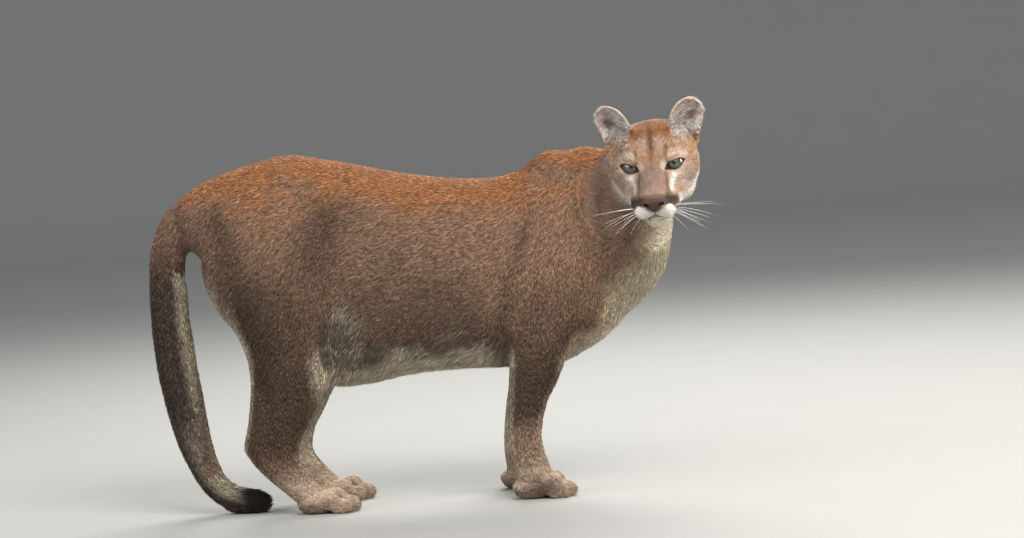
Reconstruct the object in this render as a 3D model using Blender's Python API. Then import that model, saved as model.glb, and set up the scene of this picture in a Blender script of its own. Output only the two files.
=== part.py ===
"""A life-size cougar standing with its head turned to its right, as solids for each named part of the body.

The animal faces +X, its left side is +Y and the floor it stands on is z = 0.
The body is fused from lofted forms, smoothed, thinned to few faces and then parted with thin flat cuts.
"""

import math

import bmesh
import bpy
import numpy as np
from mathutils import Matrix, Vector

# Driving sizes, in metres: the gap between parts, and the heights of the soles' flats before and after thinning
GAP = 0.0003
SOLE_LEVEL = 0.0030
THINNED_SOLE_LEVEL = 0.0039

# Fineness of the forms: points round a section, size of the fused surface's cells and rounds of smoothing
RING_POINTS = 40
CORE_VOXEL = 0.0065
CORE_SMOOTHING = 26
HEAD_VOXEL = 0.0032
HEAD_SMOOTHING = 22
FUSE_VOXEL = 0.0026
FUSE_SMOOTHING = 10

# Thinning: faces that the whole keeps, how strongly the detailed places keep theirs, and what is welded
BODY_TRIANGLES = 8300
THINNING_CARE = 0.0006
WELD = 0.00008

# How much form the smoothing leaves: heights and places on the body where it fades in, and on ears and toes
SOFT_LEAST = 0.07
SOFT_LEG_HEIGHTS = (0.14, 0.40)
SOFT_TAIL_PLACES = (-0.665, -0.590)
FORM_KEPT = 0.72
TOE_HEIGHTS = (0.030, 0.070)
EAR_LINE = (0.040, 0.062)
EAR_LINE_SLOPE = -0.2
HEAD_REACH = 0.20

# How much of its fineness each place keeps when the whole is thinned, and where those places fade out
CARE = {"head": 0.22, "face": 0.50, "eyes": 0.90, "ears": 0.40, "paws": 0.32}
HEAD_EDGE = (0.14, 0.20)
FACE_MIDDLE = (0.030, 0.0, -0.030)
FACE_REACH = (0.075, 0.075, 0.085)
FACE_EDGE = (0.8, 1.2)
EYE_EDGE = (0.024, 0.034)
PAW_HEIGHTS = (0.05, 0.11)

# Stance: half the distance between left and right legs, and how far the left feet stand from the right ones
LEG_SPREAD = 0.083
LEG_SQUARENESS = 2.15
LEG_RINGS = 44
LEFT_FORE_STEP = -0.034
LEFT_HIND_STEP = 0.011
STEP_HEIGHT = 0.30

# Where the head sits: the point midway between the eyes, and how the head is turned
HEAD_PLACE = (0.300, -0.200, 0.648)
HEAD_YAW = math.radians(-93.5)
HEAD_PITCH = math.radians(22.0)
HEAD_ROLL = math.radians(2.2)

# Ear, in the head's frame: foot, direction and width direction, then its sizes and the hollow of its cup
EAR_BASE = (-0.060, 0.0640, 0.0385)
EAR_AXIS = (-0.08, 0.400, 0.905)
EAR_ACROSS = (-0.30, 0.95, -0.31)
EAR_LENGTH = 0.069
EAR_ROOT = 0.032
EAR_HALF_WIDTH = 0.0350
EAR_TIP_HALF_WIDTH = 0.0035
EAR_BLUNTNESS = 3.2
EAR_WALL = 0.0065
EAR_RIM = EAR_WALL * 0.56
EAR_CUP = 0.020
EAR_CUT = 0.0120
EAR_GRID = 18
EAR_RIM_RINGS = 90

# Eye, in the head's frame: the ball, the lids round it and the almond opening between them
EYE_RADIUS = 0.0185
EYE_PLACE = (-0.0115, 0.0415, -0.0025)
LID_RADIUS = 0.0210
EYE_TURN = math.radians(12.0)
EYE_LIFT = math.radians(12.0)
EYE_TILT = math.radians(15.0)
EYE_OPENING = 0.0410
LID_HEIGHTS = (0.0090, 0.0085)
ALMOND_POINTS = 16
ALMOND_FULLNESS = 2.2
ALMOND_DEPTHS = (0.003, 0.045)

# Nose leather and nostrils, in the head's frame: how deep the leather goes, and its outline on one side as
# distance out, height, and the directions in which the outline grows
NOSE_TOP = -0.0330
NOSE_BOTTOM = -0.0580
NOSE_DEPTH = 0.0700
NOSE_BEYOND = 0.130
NOSE_OUTLINE = (
    (0.0210, NOSE_TOP, 1, 1),
    (0.0255, NOSE_TOP - 0.009, 1, 0),
    (0.0190, NOSE_TOP - 0.019, 1, -1),
    (0.0070, NOSE_BOTTOM, 1, -1),
)
NOSTRIL = (0.0840, 0.0150, -0.0450)
NOSTRIL_HALVES = (0.0080, 0.0062, 0.0036)
NOSTRIL_LEAN = math.radians(-24.0)

# Mouth, in the head's frame: the line of the closed lips, the point it is cut towards, and the cut's sizes
MOUTH_LINE = (
    (0.078, 0.000, -0.0710),
    (0.072, 0.014, -0.0770),
    (0.060, 0.028, -0.0830),
    (0.042, 0.039, -0.0830),
    (0.022, 0.044, -0.0780),
    (0.006, 0.046, -0.0720),
)
MOUTH_HEART = (0.010, 0.0, -0.074)
MOUTH_DEPTH = 0.006
MOUTH_BEYOND = 0.012
MOUTH_GAP = 0.0016

# Paw: the pad's middle and half sizes from the heel, then each toe's start, place outwards and knuckle height
PAW_PAD = ((0.022, 0.0, 0.026), (0.046, 0.040, 0.0255))
TOES = (
    (0.054, -0.0300, 0.030),
    (0.066, -0.0105, 0.034),
    (0.067, 0.0105, 0.034),
    (0.056, 0.0300, 0.030),
)
PAW_SETBACKS = {"forepaw": 0.012, "hind_paw": 0.024}
KNUCKLE_BACK = 0.008
KNUCKLE_GATHER = 0.92
KNUCKLE_HALVES = (0.024, 0.0122, 0.020)
TOE_FORWARD = 0.016
TOE_HALVES = (0.027, 0.0122, 0.0185)

# Trunk: distance along the body, height of back, height of belly, half width, widening towards the top
TRUNK = (
    (-0.680, 0.622, 0.592, 0.020, 0.0),
    (-0.650, 0.652, 0.552, 0.054, 0.0),
    (-0.600, 0.680, 0.492, 0.086, 0.0),
    (-0.540, 0.699, 0.412, 0.103, 0.0),
    (-0.480, 0.713, 0.338, 0.108, 0.0),
    (-0.430, 0.720, 0.288, 0.107, 0.0),
    (-0.370, 0.708, 0.253, 0.106, -0.04),
    (-0.300, 0.691, 0.252, 0.112, -0.08),
    (-0.220, 0.670, 0.264, 0.122, -0.10),
    (-0.140, 0.654, 0.268, 0.129, -0.12),
    (-0.060, 0.644, 0.267, 0.131, -0.14),
    (0.000, 0.646, 0.265, 0.127, -0.20),
    (0.045, 0.660, 0.266, 0.119, -0.28),
    (0.090, 0.680, 0.268, 0.108, -0.32),
    (0.140, 0.691, 0.286, 0.100, -0.30),
    (0.190, 0.688, 0.318, 0.090, -0.20),
    (0.230, 0.652, 0.362, 0.066, -0.10),
    (0.258, 0.600, 0.412, 0.036, 0.0),
)
TRUNK_SQUARENESS = 2.25

# Neck: centre of each section, half height, half width
NECK = (
    ((0.080, 0.000, 0.470), 0.150, 0.095),
    ((0.140, -0.001, 0.495), 0.164, 0.106),
    ((0.188, -0.006, 0.526), 0.158, 0.106),
    ((0.228, -0.022, 0.562), 0.136, 0.097),
    ((0.256, -0.050, 0.594), 0.112, 0.083),
    ((0.276, -0.090, 0.620), 0.092, 0.074),
    ((0.289, -0.135, 0.640), 0.078, 0.067),
)

# Foreleg: height, back edge, front edge, offset of the middle outwards, half width
FORELEG = (
    (0.668, 0.045, 0.125, -0.058, 0.020),
    (0.640, 0.026, 0.152, -0.044, 0.030),
    (0.590, 0.010, 0.172, -0.024, 0.039),
    (0.530, 0.000, 0.182, -0.008, 0.044),
    (0.470, -0.006, 0.182, 0.001, 0.047),
    (0.415, -0.009, 0.170, 0.005, 0.048),
    (0.365, -0.010, 0.152, 0.005, 0.047),
    (0.320, -0.011, 0.122, 0.003, 0.045),
    (0.270, -0.017, 0.097, 0.001, 0.041),
    (0.236, -0.021, 0.080, -0.001, 0.038),
    (0.194, -0.025, 0.058, -0.003, 0.035),
    (0.154, -0.028, 0.045, -0.004, 0.032),
    (0.119, -0.029, 0.040, -0.004, 0.032),
    (0.090, -0.028, 0.045, -0.004, 0.035),
    (0.062, -0.024, 0.054, -0.004, 0.037),
    (0.034, -0.018, 0.060, -0.004, 0.037),
)

# Hind leg: height, back edge, front edge, offset of the middle outwards, half width
HIND_LEG = (
    (0.680, -0.545, -0.440, -0.050, 0.022),
    (0.640, -0.585, -0.415, -0.034, 0.036),
    (0.585, -0.604, -0.388, -0.018, 0.047),
    (0.530, -0.608, -0.364, -0.009, 0.053),
    (0.477, -0.597, -0.345, -0.003, 0.055),
    (0.427, -0.578, -0.333, 0.000, 0.055),
    (0.387, -0.563, -0.332, 0.001, 0.053),
    (0.347, -0.546, -0.340, 0.002, 0.050),
    (0.308, -0.536, -0.352, 0.002, 0.046),
    (0.271, -0.534, -0.370, 0.002, 0.041),
    (0.226, -0.540, -0.394, 0.002, 0.036),
    (0.190, -0.546, -0.413, 0.002, 0.032),
    (0.161, -0.555, -0.433, 0.002, 0.030),
    (0.144, -0.559, -0.440, 0.002, 0.029),
    (0.114, -0.545, -0.446, 0.002, 0.029),
    (0.078, -0.515, -0.425, 0.002, 0.030),
    (0.048, -0.484, -0.399, 0.002, 0.032),
    (0.028, -0.462, -0.378, 0.002, 0.034),
)

# Tail: distance along, height and radius, in the body's middle plane and bent a little outwards
TAIL = (
    (-0.600, 0.000, 0.625, 0.046),
    (-0.648, 0.000, 0.600, 0.044),
    (-0.680, 0.000, 0.560, 0.040),
    (-0.694, 0.002, 0.510, 0.039),
    (-0.696, 0.004, 0.460, 0.041),
    (-0.697, 0.006, 0.400, 0.042),
    (-0.695, 0.008, 0.350, 0.043),
    (-0.692, 0.009, 0.300, 0.043),
    (-0.686, 0.009, 0.250, 0.042),
    (-0.678, 0.008, 0.198, 0.040),
    (-0.668, 0.005, 0.148, 0.036),
    (-0.652, 0.000, 0.100, 0.032),
    (-0.632, -0.006, 0.064, 0.030),
    (-0.604, -0.012, 0.040, 0.0295),
    (-0.572, -0.018, 0.030, 0.0285),
    (-0.540, -0.022, 0.027, 0.0255),
    (-0.518, -0.025, 0.026, 0.014),
)

# Muscle masses: middle, half sizes and lean in the side view, given for the left side and mirrored
MASSES = (
    ((0.115, 0.036, 0.640), (0.070, 0.040, 0.046), 12.0),
    ((0.130, 0.072, 0.395), (0.060, 0.046, 0.075), -15.0),
    ((0.035, 0.086, 0.385), (0.052, 0.042, 0.085), 22.0),
    ((-0.480, 0.074, 0.500), (0.130, 0.056, 0.150), 12.0),
    ((-0.390, 0.084, 0.392), (0.060, 0.048, 0.066), 0.0),
    ((-0.560, 0.056, 0.530), (0.052, 0.048, 0.095), 20.0),
    ((-0.350, 0.064, 0.318), (0.075, 0.034, 0.050), -32.0),
)

# Head forms in the head's own frame: X to the nose, Y to its left, Z up, from midway between the eyes
SKULL = (
    (0.084, -0.030, -0.058, 0.025, 0.0),
    (0.068, -0.021, -0.074, 0.031, -0.10),
    (0.045, -0.009, -0.084, 0.037, -0.18),
    (0.020, 0.006, -0.088, 0.047, -0.22),
    (-0.006, 0.028, -0.090, 0.061, -0.14),
    (-0.036, 0.049, -0.092, 0.073, -0.05),
    (-0.070, 0.059, -0.092, 0.079, 0.0),
    (-0.105, 0.053, -0.090, 0.077, 0.0),
    (-0.140, 0.034, -0.086, 0.066, 0.0),
    (-0.170, 0.005, -0.072, 0.044, 0.0),
)
HEAD_MASSES = (
    ((0.046, 0.0235, -0.056), (0.036, 0.0255, 0.0270), 0.0),
    ((0.024, 0.0300, -0.058), (0.038, 0.0190, 0.0250), 0.0),
    ((-0.050, 0.0470, -0.020), (0.058, 0.0420, 0.0560), 0.0),
    ((-0.045, 0.0440, -0.058), (0.056, 0.0330, 0.0380), 0.0),
    ((-0.012, 0.0420, -0.028), (0.030, 0.0250, 0.0240), 0.0),
    ((0.000, 0.0380, -0.050), (0.040, 0.0280, 0.0280), 0.0),
    ((-0.028, 0.0360, 0.022), (0.030, 0.0300, 0.0200), 0.0),
)
HEAD_MIDDLE_MASSES = (
    ((0.040, 0.0, -0.0860), (0.027, 0.0285, 0.0200), 0.0),
    ((0.006, 0.0, -0.0840), (0.050, 0.0380, 0.0220), 0.0),
)

# Strokes that shape the body: middle, reach and push, the same on both sides
BODY_STROKES = (
    ((-0.270, 0.125, 0.490), (0.095, 0.080, 0.150), (0.0, -0.0110, 0.0)),
    ((-0.030, 0.135, 0.430), (0.038, 0.060, 0.140), (0.0, -0.0080, 0.0)),
    ((-0.450, 0.135, 0.470), (0.130, 0.070, 0.160), (0.0, 0.0090, 0.0)),
    ((0.172, 0.110, 0.500), (0.040, 0.060, 0.150), (0.0, -0.0080, 0.0)),
    ((0.085, 0.130, 0.470), (0.075, 0.060, 0.130), (0.0, 0.0070, 0.0)),
    ((0.070, 0.045, 0.685), (0.060, 0.040, 0.040), (0.0, 0.0020, 0.0060)),
    ((0.080, 0.000, 0.690), (0.080, 0.022, 0.040), (0.0, 0.0, -0.0050)),
    ((0.000, 0.110, 0.335), (0.032, 0.050, 0.050), (-0.0060, 0.0040, 0.0)),
    ((-0.352, 0.120, 0.375), (0.040, 0.050, 0.050), (0.0050, 0.0040, 0.0)),
    ((-0.505, 0.115, 0.240), (0.028, 0.030, 0.070), (0.0, -0.0070, 0.0)),
    ((-0.590, 0.110, 0.560), (0.060, 0.050, 0.070), (0.0, -0.0060, 0.0)),
    ((-0.410, 0.075, 0.690), (0.060, 0.045, 0.045), (0.0, 0.0040, 0.0040)),
    ((0.200, 0.000, 0.390), (0.070, 0.022, 0.090), (0.0040, 0.0, -0.0030)),
)

# Strokes that shape the head: middle, reach and push, in the head's frame, the same on both sides
HEAD_STROKES = (
    ((0.012, 0.044, 0.000), (0.030, 0.026, 0.016), (-0.0050, 0.0, 0.0)),
    ((0.004, 0.038, 0.020), (0.026, 0.028, 0.012), (0.0050, 0.0, 0.0010)),
    ((0.018, 0.027, -0.005), (0.018, 0.010, 0.014), (-0.0050, 0.0, 0.0)),
    ((0.000, 0.064, 0.004), (0.020, 0.014, 0.014), (-0.0030, -0.0020, 0.0)),
    ((0.008, 0.050, -0.024), (0.024, 0.022, 0.016), (0.0040, 0.0010, 0.0)),
    ((0.024, 0.046, -0.040), (0.026, 0.012, 0.026), (-0.0040, -0.0040, 0.0)),
    ((0.084, 0.000, -0.042), (0.016, 0.026, 0.016), (0.0045, 0.0, 0.0)),
    ((0.066, 0.026, -0.066), (0.026, 0.022, 0.020), (0.0050, 0.0030, -0.0010)),
    ((0.072, 0.030, -0.044), (0.022, 0.012, 0.012), (-0.0030, -0.0010, 0.0)),
    ((0.060, 0.000, -0.100), (0.022, 0.028, 0.016), (0.0040, 0.0, -0.0010)),
    ((-0.014, 0.000, 0.044), (0.030, 0.008, 0.024), (-0.0025, 0.0, -0.0010)),
    ((-0.020, 0.020, 0.046), (0.028, 0.016, 0.022), (0.0025, 0.0, 0.0010)),
    ((-0.034, 0.072, 0.026), (0.030, 0.018, 0.022), (0.0, -0.0050, 0.0)),
)
FINE_STROKES = (
    ((0.086, 0.000, -0.064), (0.020, 0.0060, 0.016), (-0.0060, 0.0, 0.0)),
    ((0.064, 0.020, -0.083), (0.024, 0.034, 0.0060), (-0.0040, 0.0, 0.0010)),
    ((0.008, 0.040, 0.0165), (0.018, 0.030, 0.0060), (0.0025, 0.0, -0.0008)),
    ((0.010, 0.042, -0.0125), (0.018, 0.024, 0.0050), (-0.0015, 0.0, 0.0)),
)

# Thin plates that part the body: middle, normal and half sizes
PLATES = (
    ((0.292, -0.110, 0.622), (0.19, -0.87, 0.46), (0.16, 0.20)),
    ((0.178, 0.030, 0.500), (1.0, 0.0, 0.06), (0.165, 0.26)),
    ((-0.6925, 0.0, 0.516), (0.848, 0.0, 0.53), (0.09, 0.115)),
    ((-0.680, 0.0, 0.270), (0.0, 0.0, 1.0), (0.09, 0.085)),
    ((-0.660, 0.0, 0.105), (0.0, 0.0, 1.0), (0.09, 0.060)),
    ((-0.210, 0.0, 0.236), (0.0, 0.0, 1.0), (0.20, 0.38)),
    ((0.030, 0.0, 0.084), (0.0, 0.0, 1.0), (0.20, 0.15)),
    ((-0.480, 0.0, 0.126), (0.0, 0.0, 1.0), (0.20, 0.115)),
)

# A point on each part that the plates leave, by which it is known
MARKERS = {
    "head": (0.300, -0.260, 0.600),
    "neck": (0.230, 0.090, 0.540),
    "torso": (-0.200, 0.130, 0.450),
    "tail_1": (-0.730, 0.0, 0.420),
    "tail_2": (-0.710, 0.0, 0.200),
    "tail_3": (-0.570, -0.02, 0.060),
    "foreleg_left": (-0.010, 0.120, 0.160),
    "foreleg_right": (0.010, -0.120, 0.160),
    "forepaw_left": (0.030, 0.080, 0.050),
    "forepaw_right": (0.070, -0.080, 0.050),
    "shank_left": (-0.480, 0.120, 0.180),
    "shank_right": (-0.480, -0.120, 0.180),
    "hind_paw_left": (-0.380, 0.085, 0.050),
    "hind_paw_right": (-0.400, -0.085, 0.050),
}

# Prisms that part the upper limbs: back and front at the bottom and top, inner face, leaning inner face, top
LIMB_BOTTOM = 0.20
LIMB_OUTSIDE = 0.24
LIMB_REGIONS = {
    "shoulder": ((-0.055, -0.004), (0.146, 0.160), (0.016, 0.240), (0.082, 0.570)),
    "thigh": ((-0.720, -0.720), (-0.366, -0.300), (0.010, 0.400), (0.080, 0.610)),
}

# Colour and roughness by the start of the part's name
COLOURS = {
    "head": ((0.42, 0.24, 0.13), 0.85),
    "neck": ((0.36, 0.20, 0.11), 0.85),
    "torso": ((0.36, 0.19, 0.10), 0.85),
    "tail": ((0.20, 0.12, 0.08), 0.85),
    "shoulder": ((0.33, 0.20, 0.12), 0.85),
    "foreleg": ((0.36, 0.24, 0.17), 0.85),
    "forepaw": ((0.42, 0.31, 0.24), 0.85),
    "thigh": ((0.28, 0.16, 0.10), 0.85),
    "shank": ((0.33, 0.22, 0.15), 0.85),
    "hind_paw": ((0.40, 0.29, 0.22), 0.85),
    "ear": ((0.45, 0.36, 0.31), 0.85),
    "eye": ((0.22, 0.24, 0.13), 0.15),
    "nose": ((0.24, 0.11, 0.09), 0.45),
}


def smooth_between(stations, count):
    """The stations' numbers at count places, on a smooth curve that passes through each station."""
    table = np.array([np.hstack([np.ravel(v) for v in s]) for s in stations], float)
    steps = np.linalg.norm(np.diff(table[:, :3], axis=0), axis=1)
    at = np.concatenate([[0.0], np.cumsum(steps)])
    slope = np.gradient(table, at, axis=0)
    where = np.linspace(0.0, at[-1], count)
    left = np.clip(np.searchsorted(at, where, side="right") - 1, 0, len(at) - 2)
    span = (at[left + 1] - at[left])[:, None]
    t = ((where - at[left]) / span[:, 0])[:, None]
    return (
        (2 * t**3 - 3 * t**2 + 1) * table[left]
        + (t**3 - 2 * t**2 + t) * span * slope[left]
        + (3 * t**2 - 2 * t**3) * table[left + 1]
        + (t**3 - t**2) * span * slope[left + 1]
    )


def mesh_object(name, bm):
    """A new object in the scene that holds the bmesh, with its faces pointing out."""
    bmesh.ops.recalc_face_normals(bm, faces=bm.faces)
    mesh = bpy.data.meshes.new(name)
    bm.to_mesh(mesh)
    bm.free()
    obj = bpy.data.objects.new(name, mesh)
    bpy.context.scene.collection.objects.link(obj)
    return obj


def loft(name, centres, across, upwards, squareness=2.0, spread=None):
    """A closed tube of rounded sections. across and upwards are each section's half axes as vectors."""
    bm = bmesh.new()
    turns = np.arange(RING_POINTS) * 2 * math.pi / RING_POINTS
    c = np.sign(np.cos(turns)) * np.abs(np.cos(turns)) ** (2 / squareness)
    s = np.sign(np.sin(turns)) * np.abs(np.sin(turns)) ** (2 / squareness)
    rings = []
    for k, centre in enumerate(centres):
        wide = 1.0 + (spread[k] if spread is not None else 0.0) * s
        points = centre + np.outer(c * wide, across[k]) + np.outer(s, upwards[k])
        rings.append([bm.verts.new(p) for p in points])
    for a, b in zip(rings, rings[1:]):
        for i in range(RING_POINTS):
            j = (i + 1) % RING_POINTS
            bm.faces.new((a[i], a[j], b[j], b[i]))
    for ring in (rings[0], rings[-1]):
        bm.faces.new(ring)
    return mesh_object(name, bm)


def trunk_like(name, table, squareness, count=48):
    """A loft along X from stations of distance, top, bottom, half width and spread."""
    at = smooth_between([((s[0], 0.0, 0.0), s[1:]) for s in table], count)
    x, top, bottom, half, spread = at[:, 0], at[:, 3], at[:, 4], at[:, 5], at[:, 6]
    flat = np.zeros_like(x)
    centres = np.stack([x, flat, (top + bottom) / 2], 1)
    across = np.stack([flat, half, flat], 1)
    upwards = np.stack([flat, flat, (top - bottom) / 2], 1)
    return loft(name, centres, across, upwards, squareness, spread)


def leg(name, table, side, forward):
    """A leg of level sections, at LEG_SPREAD from the middle plane on the given side."""
    at = smooth_between([((s[1], 0.0, s[0]), s[2:]) for s in table], LEG_RINGS)
    back, z, front, out, half = at[:, 0], at[:, 2], at[:, 3], at[:, 4], at[:, 5]
    flat = np.zeros_like(z)
    shift = np.array([forward(height, side) for height in z])
    centres = np.stack([(back + front) / 2 + shift, side * (LEG_SPREAD + out), z], 1)
    across = np.stack([(front - back) / 2, flat, flat], 1)
    upwards = np.stack([flat, half, flat], 1)
    return loft(name, centres, across, upwards, LEG_SQUARENESS)


def pipe(name, path, tall, wide, count=60):
    """A tube whose sections stand square to its path, tall in the vertical plane and wide sideways."""
    at = smooth_between([(p, a, b) for p, a, b in zip(path, tall, wide)], count)
    centres = at[:, :3]
    along = np.gradient(centres, axis=0)
    along /= np.linalg.norm(along, axis=1)[:, None]
    side = np.cross(np.broadcast_to([0.0, 0.0, 1.0], along.shape), along)
    flip = np.abs(side[:, 1]) < 1e-6
    side[flip] = [0.0, 1.0, 0.0]
    side /= np.linalg.norm(side, axis=1)[:, None]
    for k in range(1, len(side)):
        if side[k] @ side[k - 1] < 0:
            side[k] *= -1
    up = np.cross(along, side)
    return loft(name, centres, side * at[:, 4:5], up * at[:, 3:4])


def ellipsoid(name, middle, halves, turn=Matrix.Identity(4), segments=28):
    """A ball stretched to the given half sizes, turned and placed."""
    bm = bmesh.new()
    bmesh.ops.create_uvsphere(bm, u_segments=segments, v_segments=segments // 2, radius=1.0)
    matrix = Matrix.Translation(middle) @ turn @ Matrix.Diagonal((*halves, 1.0))
    bmesh.ops.transform(bm, matrix=matrix, verts=bm.verts)
    return mesh_object(name, bm)


def box(name, low, high, place=Matrix.Identity(4)):
    """A box between two corners of a frame of its own."""
    bm = bmesh.new()
    bmesh.ops.create_cube(bm, size=1.0)
    low, high = Vector(low), Vector(high)
    matrix = place @ Matrix.Translation((low + high) / 2) @ Matrix.Diagonal((*(high - low), 1.0))
    bmesh.ops.transform(bm, matrix=matrix, verts=bm.verts)
    return mesh_object(name, bm)


def head_frame():
    """The matrix that carries the head's own frame to the animal's."""
    turn = (
        Matrix.Rotation(HEAD_YAW, 4, "Z")
        @ Matrix.Rotation(HEAD_PITCH, 4, "Y")
        @ Matrix.Rotation(HEAD_ROLL, 4, "X")
    )
    return Matrix.Translation(HEAD_PLACE) @ turn


def both_sides(make, table):
    """Calls make for each row of the table on the left and, mirrored, on the right."""
    made = []
    for row in table:
        for side in (1, -1):
            (x, y, z), halves, lean = row
            made.append(make((x, side * y, z), halves, lean, side))
    return made


def muscles():
    """The masses of muscle that swell the trunk and the upper limbs."""

    def one(middle, halves, lean, side):
        turn = Matrix.Rotation(math.radians(lean), 4, "Y")
        return ellipsoid("muscle", middle, halves, turn)

    return both_sides(one, MASSES)


def paw(name, heel, side):
    """A paw whose pad starts at the heel: a broad pad, four knuckles and four toes."""
    x, y = heel
    middle, halves = PAW_PAD
    pieces = [ellipsoid(name, (x + middle[0], y, middle[2]), halves)]
    for start, out, tall in TOES:
        knuckle = (x + start - KNUCKLE_BACK, y + side * out * KNUCKLE_GATHER, tall)
        pieces.append(ellipsoid(name, knuckle, KNUCKLE_HALVES))
        tip = (x + start + TOE_FORWARD, y + side * out, TOE_HALVES[2])
        pieces.append(ellipsoid(name, tip, TOE_HALVES))
    return pieces


def fore_shift(z, side):
    """The left foreleg stands a little behind the right one."""
    return LEFT_FORE_STEP * max(0.0, 1 - z / STEP_HEIGHT) if side > 0 else 0.0


def hind_shift(z, side):
    """The left hind leg stands a little before the right one."""
    return LEFT_HIND_STEP * max(0.0, 1 - z / STEP_HEIGHT) if side > 0 else 0.0


def legs():
    """The four legs down to the paws."""
    made = []
    for side in (1, -1):
        made.append(leg("foreleg", FORELEG, side, fore_shift))
        made.append(leg("hind_leg", HIND_LEG, side, hind_shift))
    return made


def paws():
    """The four paws, each under the foot of its leg."""
    made = []
    for side in (1, -1):
        for name, table, shift in (("forepaw", FORELEG, fore_shift), ("hind_paw", HIND_LEG, hind_shift)):
            foot = table[-1]
            heel = foot[1] + PAW_SETBACKS[name] + shift(0.0, side)
            made += paw(name, (heel, side * (LEG_SPREAD + foot[3])), side)
    return made


def ear_axes(side):
    """An ear's foot and its forward, outward and upward directions, in the head's frame."""
    mirror = Vector((1.0, side, 1.0))
    up = (Vector(EAR_AXIS) * mirror).normalized()
    across = Vector(EAR_ACROSS) * mirror
    across = (across - up * across.dot(up)).normalized()
    return Vector(EAR_BASE) * mirror, across.cross(up) * side, across, up


def ear(side, place):
    """An upright ear: a rounded leaf, hollowed in front into a cup, with its root in the skull."""
    bm = bmesh.new()
    rows = columns = EAR_GRID
    foot, forward, across, up = ear_axes(side)
    layers = []
    for depth in (0.0, EAR_WALL):
        grid = []
        for r in range(rows + 1):
            t = -EAR_ROOT + (EAR_LENGTH + EAR_ROOT - depth * 0.3) * math.sin(r / rows * math.pi / 2)
            share = max(t, 0.0) / EAR_LENGTH
            half = EAR_HALF_WIDTH * math.sqrt(max(0.0, 1 - share**EAR_BLUNTNESS))
            half = max(EAR_TIP_HALF_WIDTH, half)
            line = []
            for c in range(columns + 1):
                s = math.sin((c / columns - 0.5) * math.pi)
                cup = EAR_CUP * (1 - share * 0.6) * (1 - s * s)
                p = foot + up * t + across * (s * half - share * 0.003) - forward * (cup + depth)
                line.append(bm.verts.new(place @ p))
            grid.append(line)
        layers.append(grid)
    front, back = layers
    for grid in layers:
        for r in range(rows):
            for c in range(columns):
                bm.faces.new((grid[r][c], grid[r][c + 1], grid[r + 1][c + 1], grid[r + 1][c]))
    rim = [(0, c) for c in range(columns + 1)]
    rim += [(r, columns) for r in range(1, rows + 1)]
    rim += [(rows, c) for c in range(columns - 1, -1, -1)]
    rim += [(r, 0) for r in range(rows - 1, 0, -1)]
    for (r, c), (q, d) in zip(rim, rim[1:] + rim[:1]):
        bm.faces.new((front[r][c], front[q][d], back[q][d], back[r][c]))
    start = next(i for i, (r, c) in enumerate(rim) if r == 1)
    order = [(front[r][c].co + back[r][c].co) / 2 for r, c in rim[start:]]
    thick = [EAR_RIM] * len(order)
    roll = pipe("ear_rim", [tuple(p) for p in order], thick, thick, EAR_RIM_RINGS)
    return [mesh_object("ear", bm), roll]


def head_forms():
    """The head's lofts and masses smoothed together, then its ears and the swell of its eyelids."""
    place = head_frame()
    skull = trunk_like("skull", SKULL, 2.2)
    skull.data.transform(place)

    def one(middle, halves, lean=0.0, side=1):
        piece = ellipsoid("head_mass", middle, halves)
        piece.data.transform(place)
        return piece

    core = [skull] + both_sides(one, HEAD_MASSES) + [one(*row) for row in HEAD_MIDDLE_MASSES]
    head = fuse(joined("head_core", core), HEAD_VOXEL, lambda points: np.ones(len(points)), HEAD_SMOOTHING)
    stroke(head, HEAD_STROKES, place)
    made = [head]
    for side in (1, -1):
        x, y, z = EYE_PLACE
        made.append(one((x, side * y, z), (LID_RADIUS,) * 3))
        made += ear(side, place)
    return made


def stroke(obj, strokes, frame=Matrix.Identity(4)):
    """Moves the points near each stroke along its push, most at its middle and none at its reach."""
    there = np.array(frame)
    back = np.array(frame.inverted())
    at = points_of(obj) @ back[:3, :3].T + back[:3, 3]
    for middle, reach, push in strokes:
        for side in (1, -1) if middle[1] else (1,):
            mirror = np.array([1.0, side, 1.0])
            away = np.linalg.norm((at - np.array(middle) * mirror) / np.array(reach), axis=1)
            share = np.clip(1 - away**2, 0.0, 1.0) ** 2
            at = at + share[:, None] * (np.array(push) * mirror)
    moved = at @ there[:3, :3].T + there[:3, 3]
    obj.data.vertices.foreach_set("co", moved.astype(np.float32).ravel())
    obj.data.update()


def joined(name, objects):
    """One object that holds the meshes of all the given ones, which are removed."""
    bm = bmesh.new()
    for obj in objects:
        bm.from_mesh(obj.data)
        bpy.data.objects.remove(obj)
    mesh = bpy.data.meshes.new(name)
    bm.to_mesh(mesh)
    bm.free()
    whole = bpy.data.objects.new(name, mesh)
    bpy.context.scene.collection.objects.link(whole)
    return whole


def bake(obj):
    """Replaces the object's mesh by what its modifiers make of it."""
    bpy.context.view_layer.update()
    graph = bpy.context.evaluated_depsgraph_get()
    mesh = bpy.data.meshes.new_from_object(obj.evaluated_get(graph))
    old = obj.data
    obj.modifiers.clear()
    obj.data = mesh
    bpy.data.meshes.remove(old)
    return obj


def points_of(obj):
    """The object's vertices as rows of x, y and z."""
    co = np.empty(len(obj.data.vertices) * 3, np.float32)
    obj.data.vertices.foreach_get("co", co)
    return co.reshape(-1, 3).astype(float)


def in_head(points):
    """The points in the head's own frame."""
    turn = np.array(head_frame().inverted())
    return points @ turn[:3, :3].T + turn[:3, 3]


def fade(value, low, high):
    """0 below low, 1 above high, and smooth between."""
    t = np.clip((value - low) / (high - low), 0.0, 1.0)
    return t * t * (3 - 2 * t)


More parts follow.
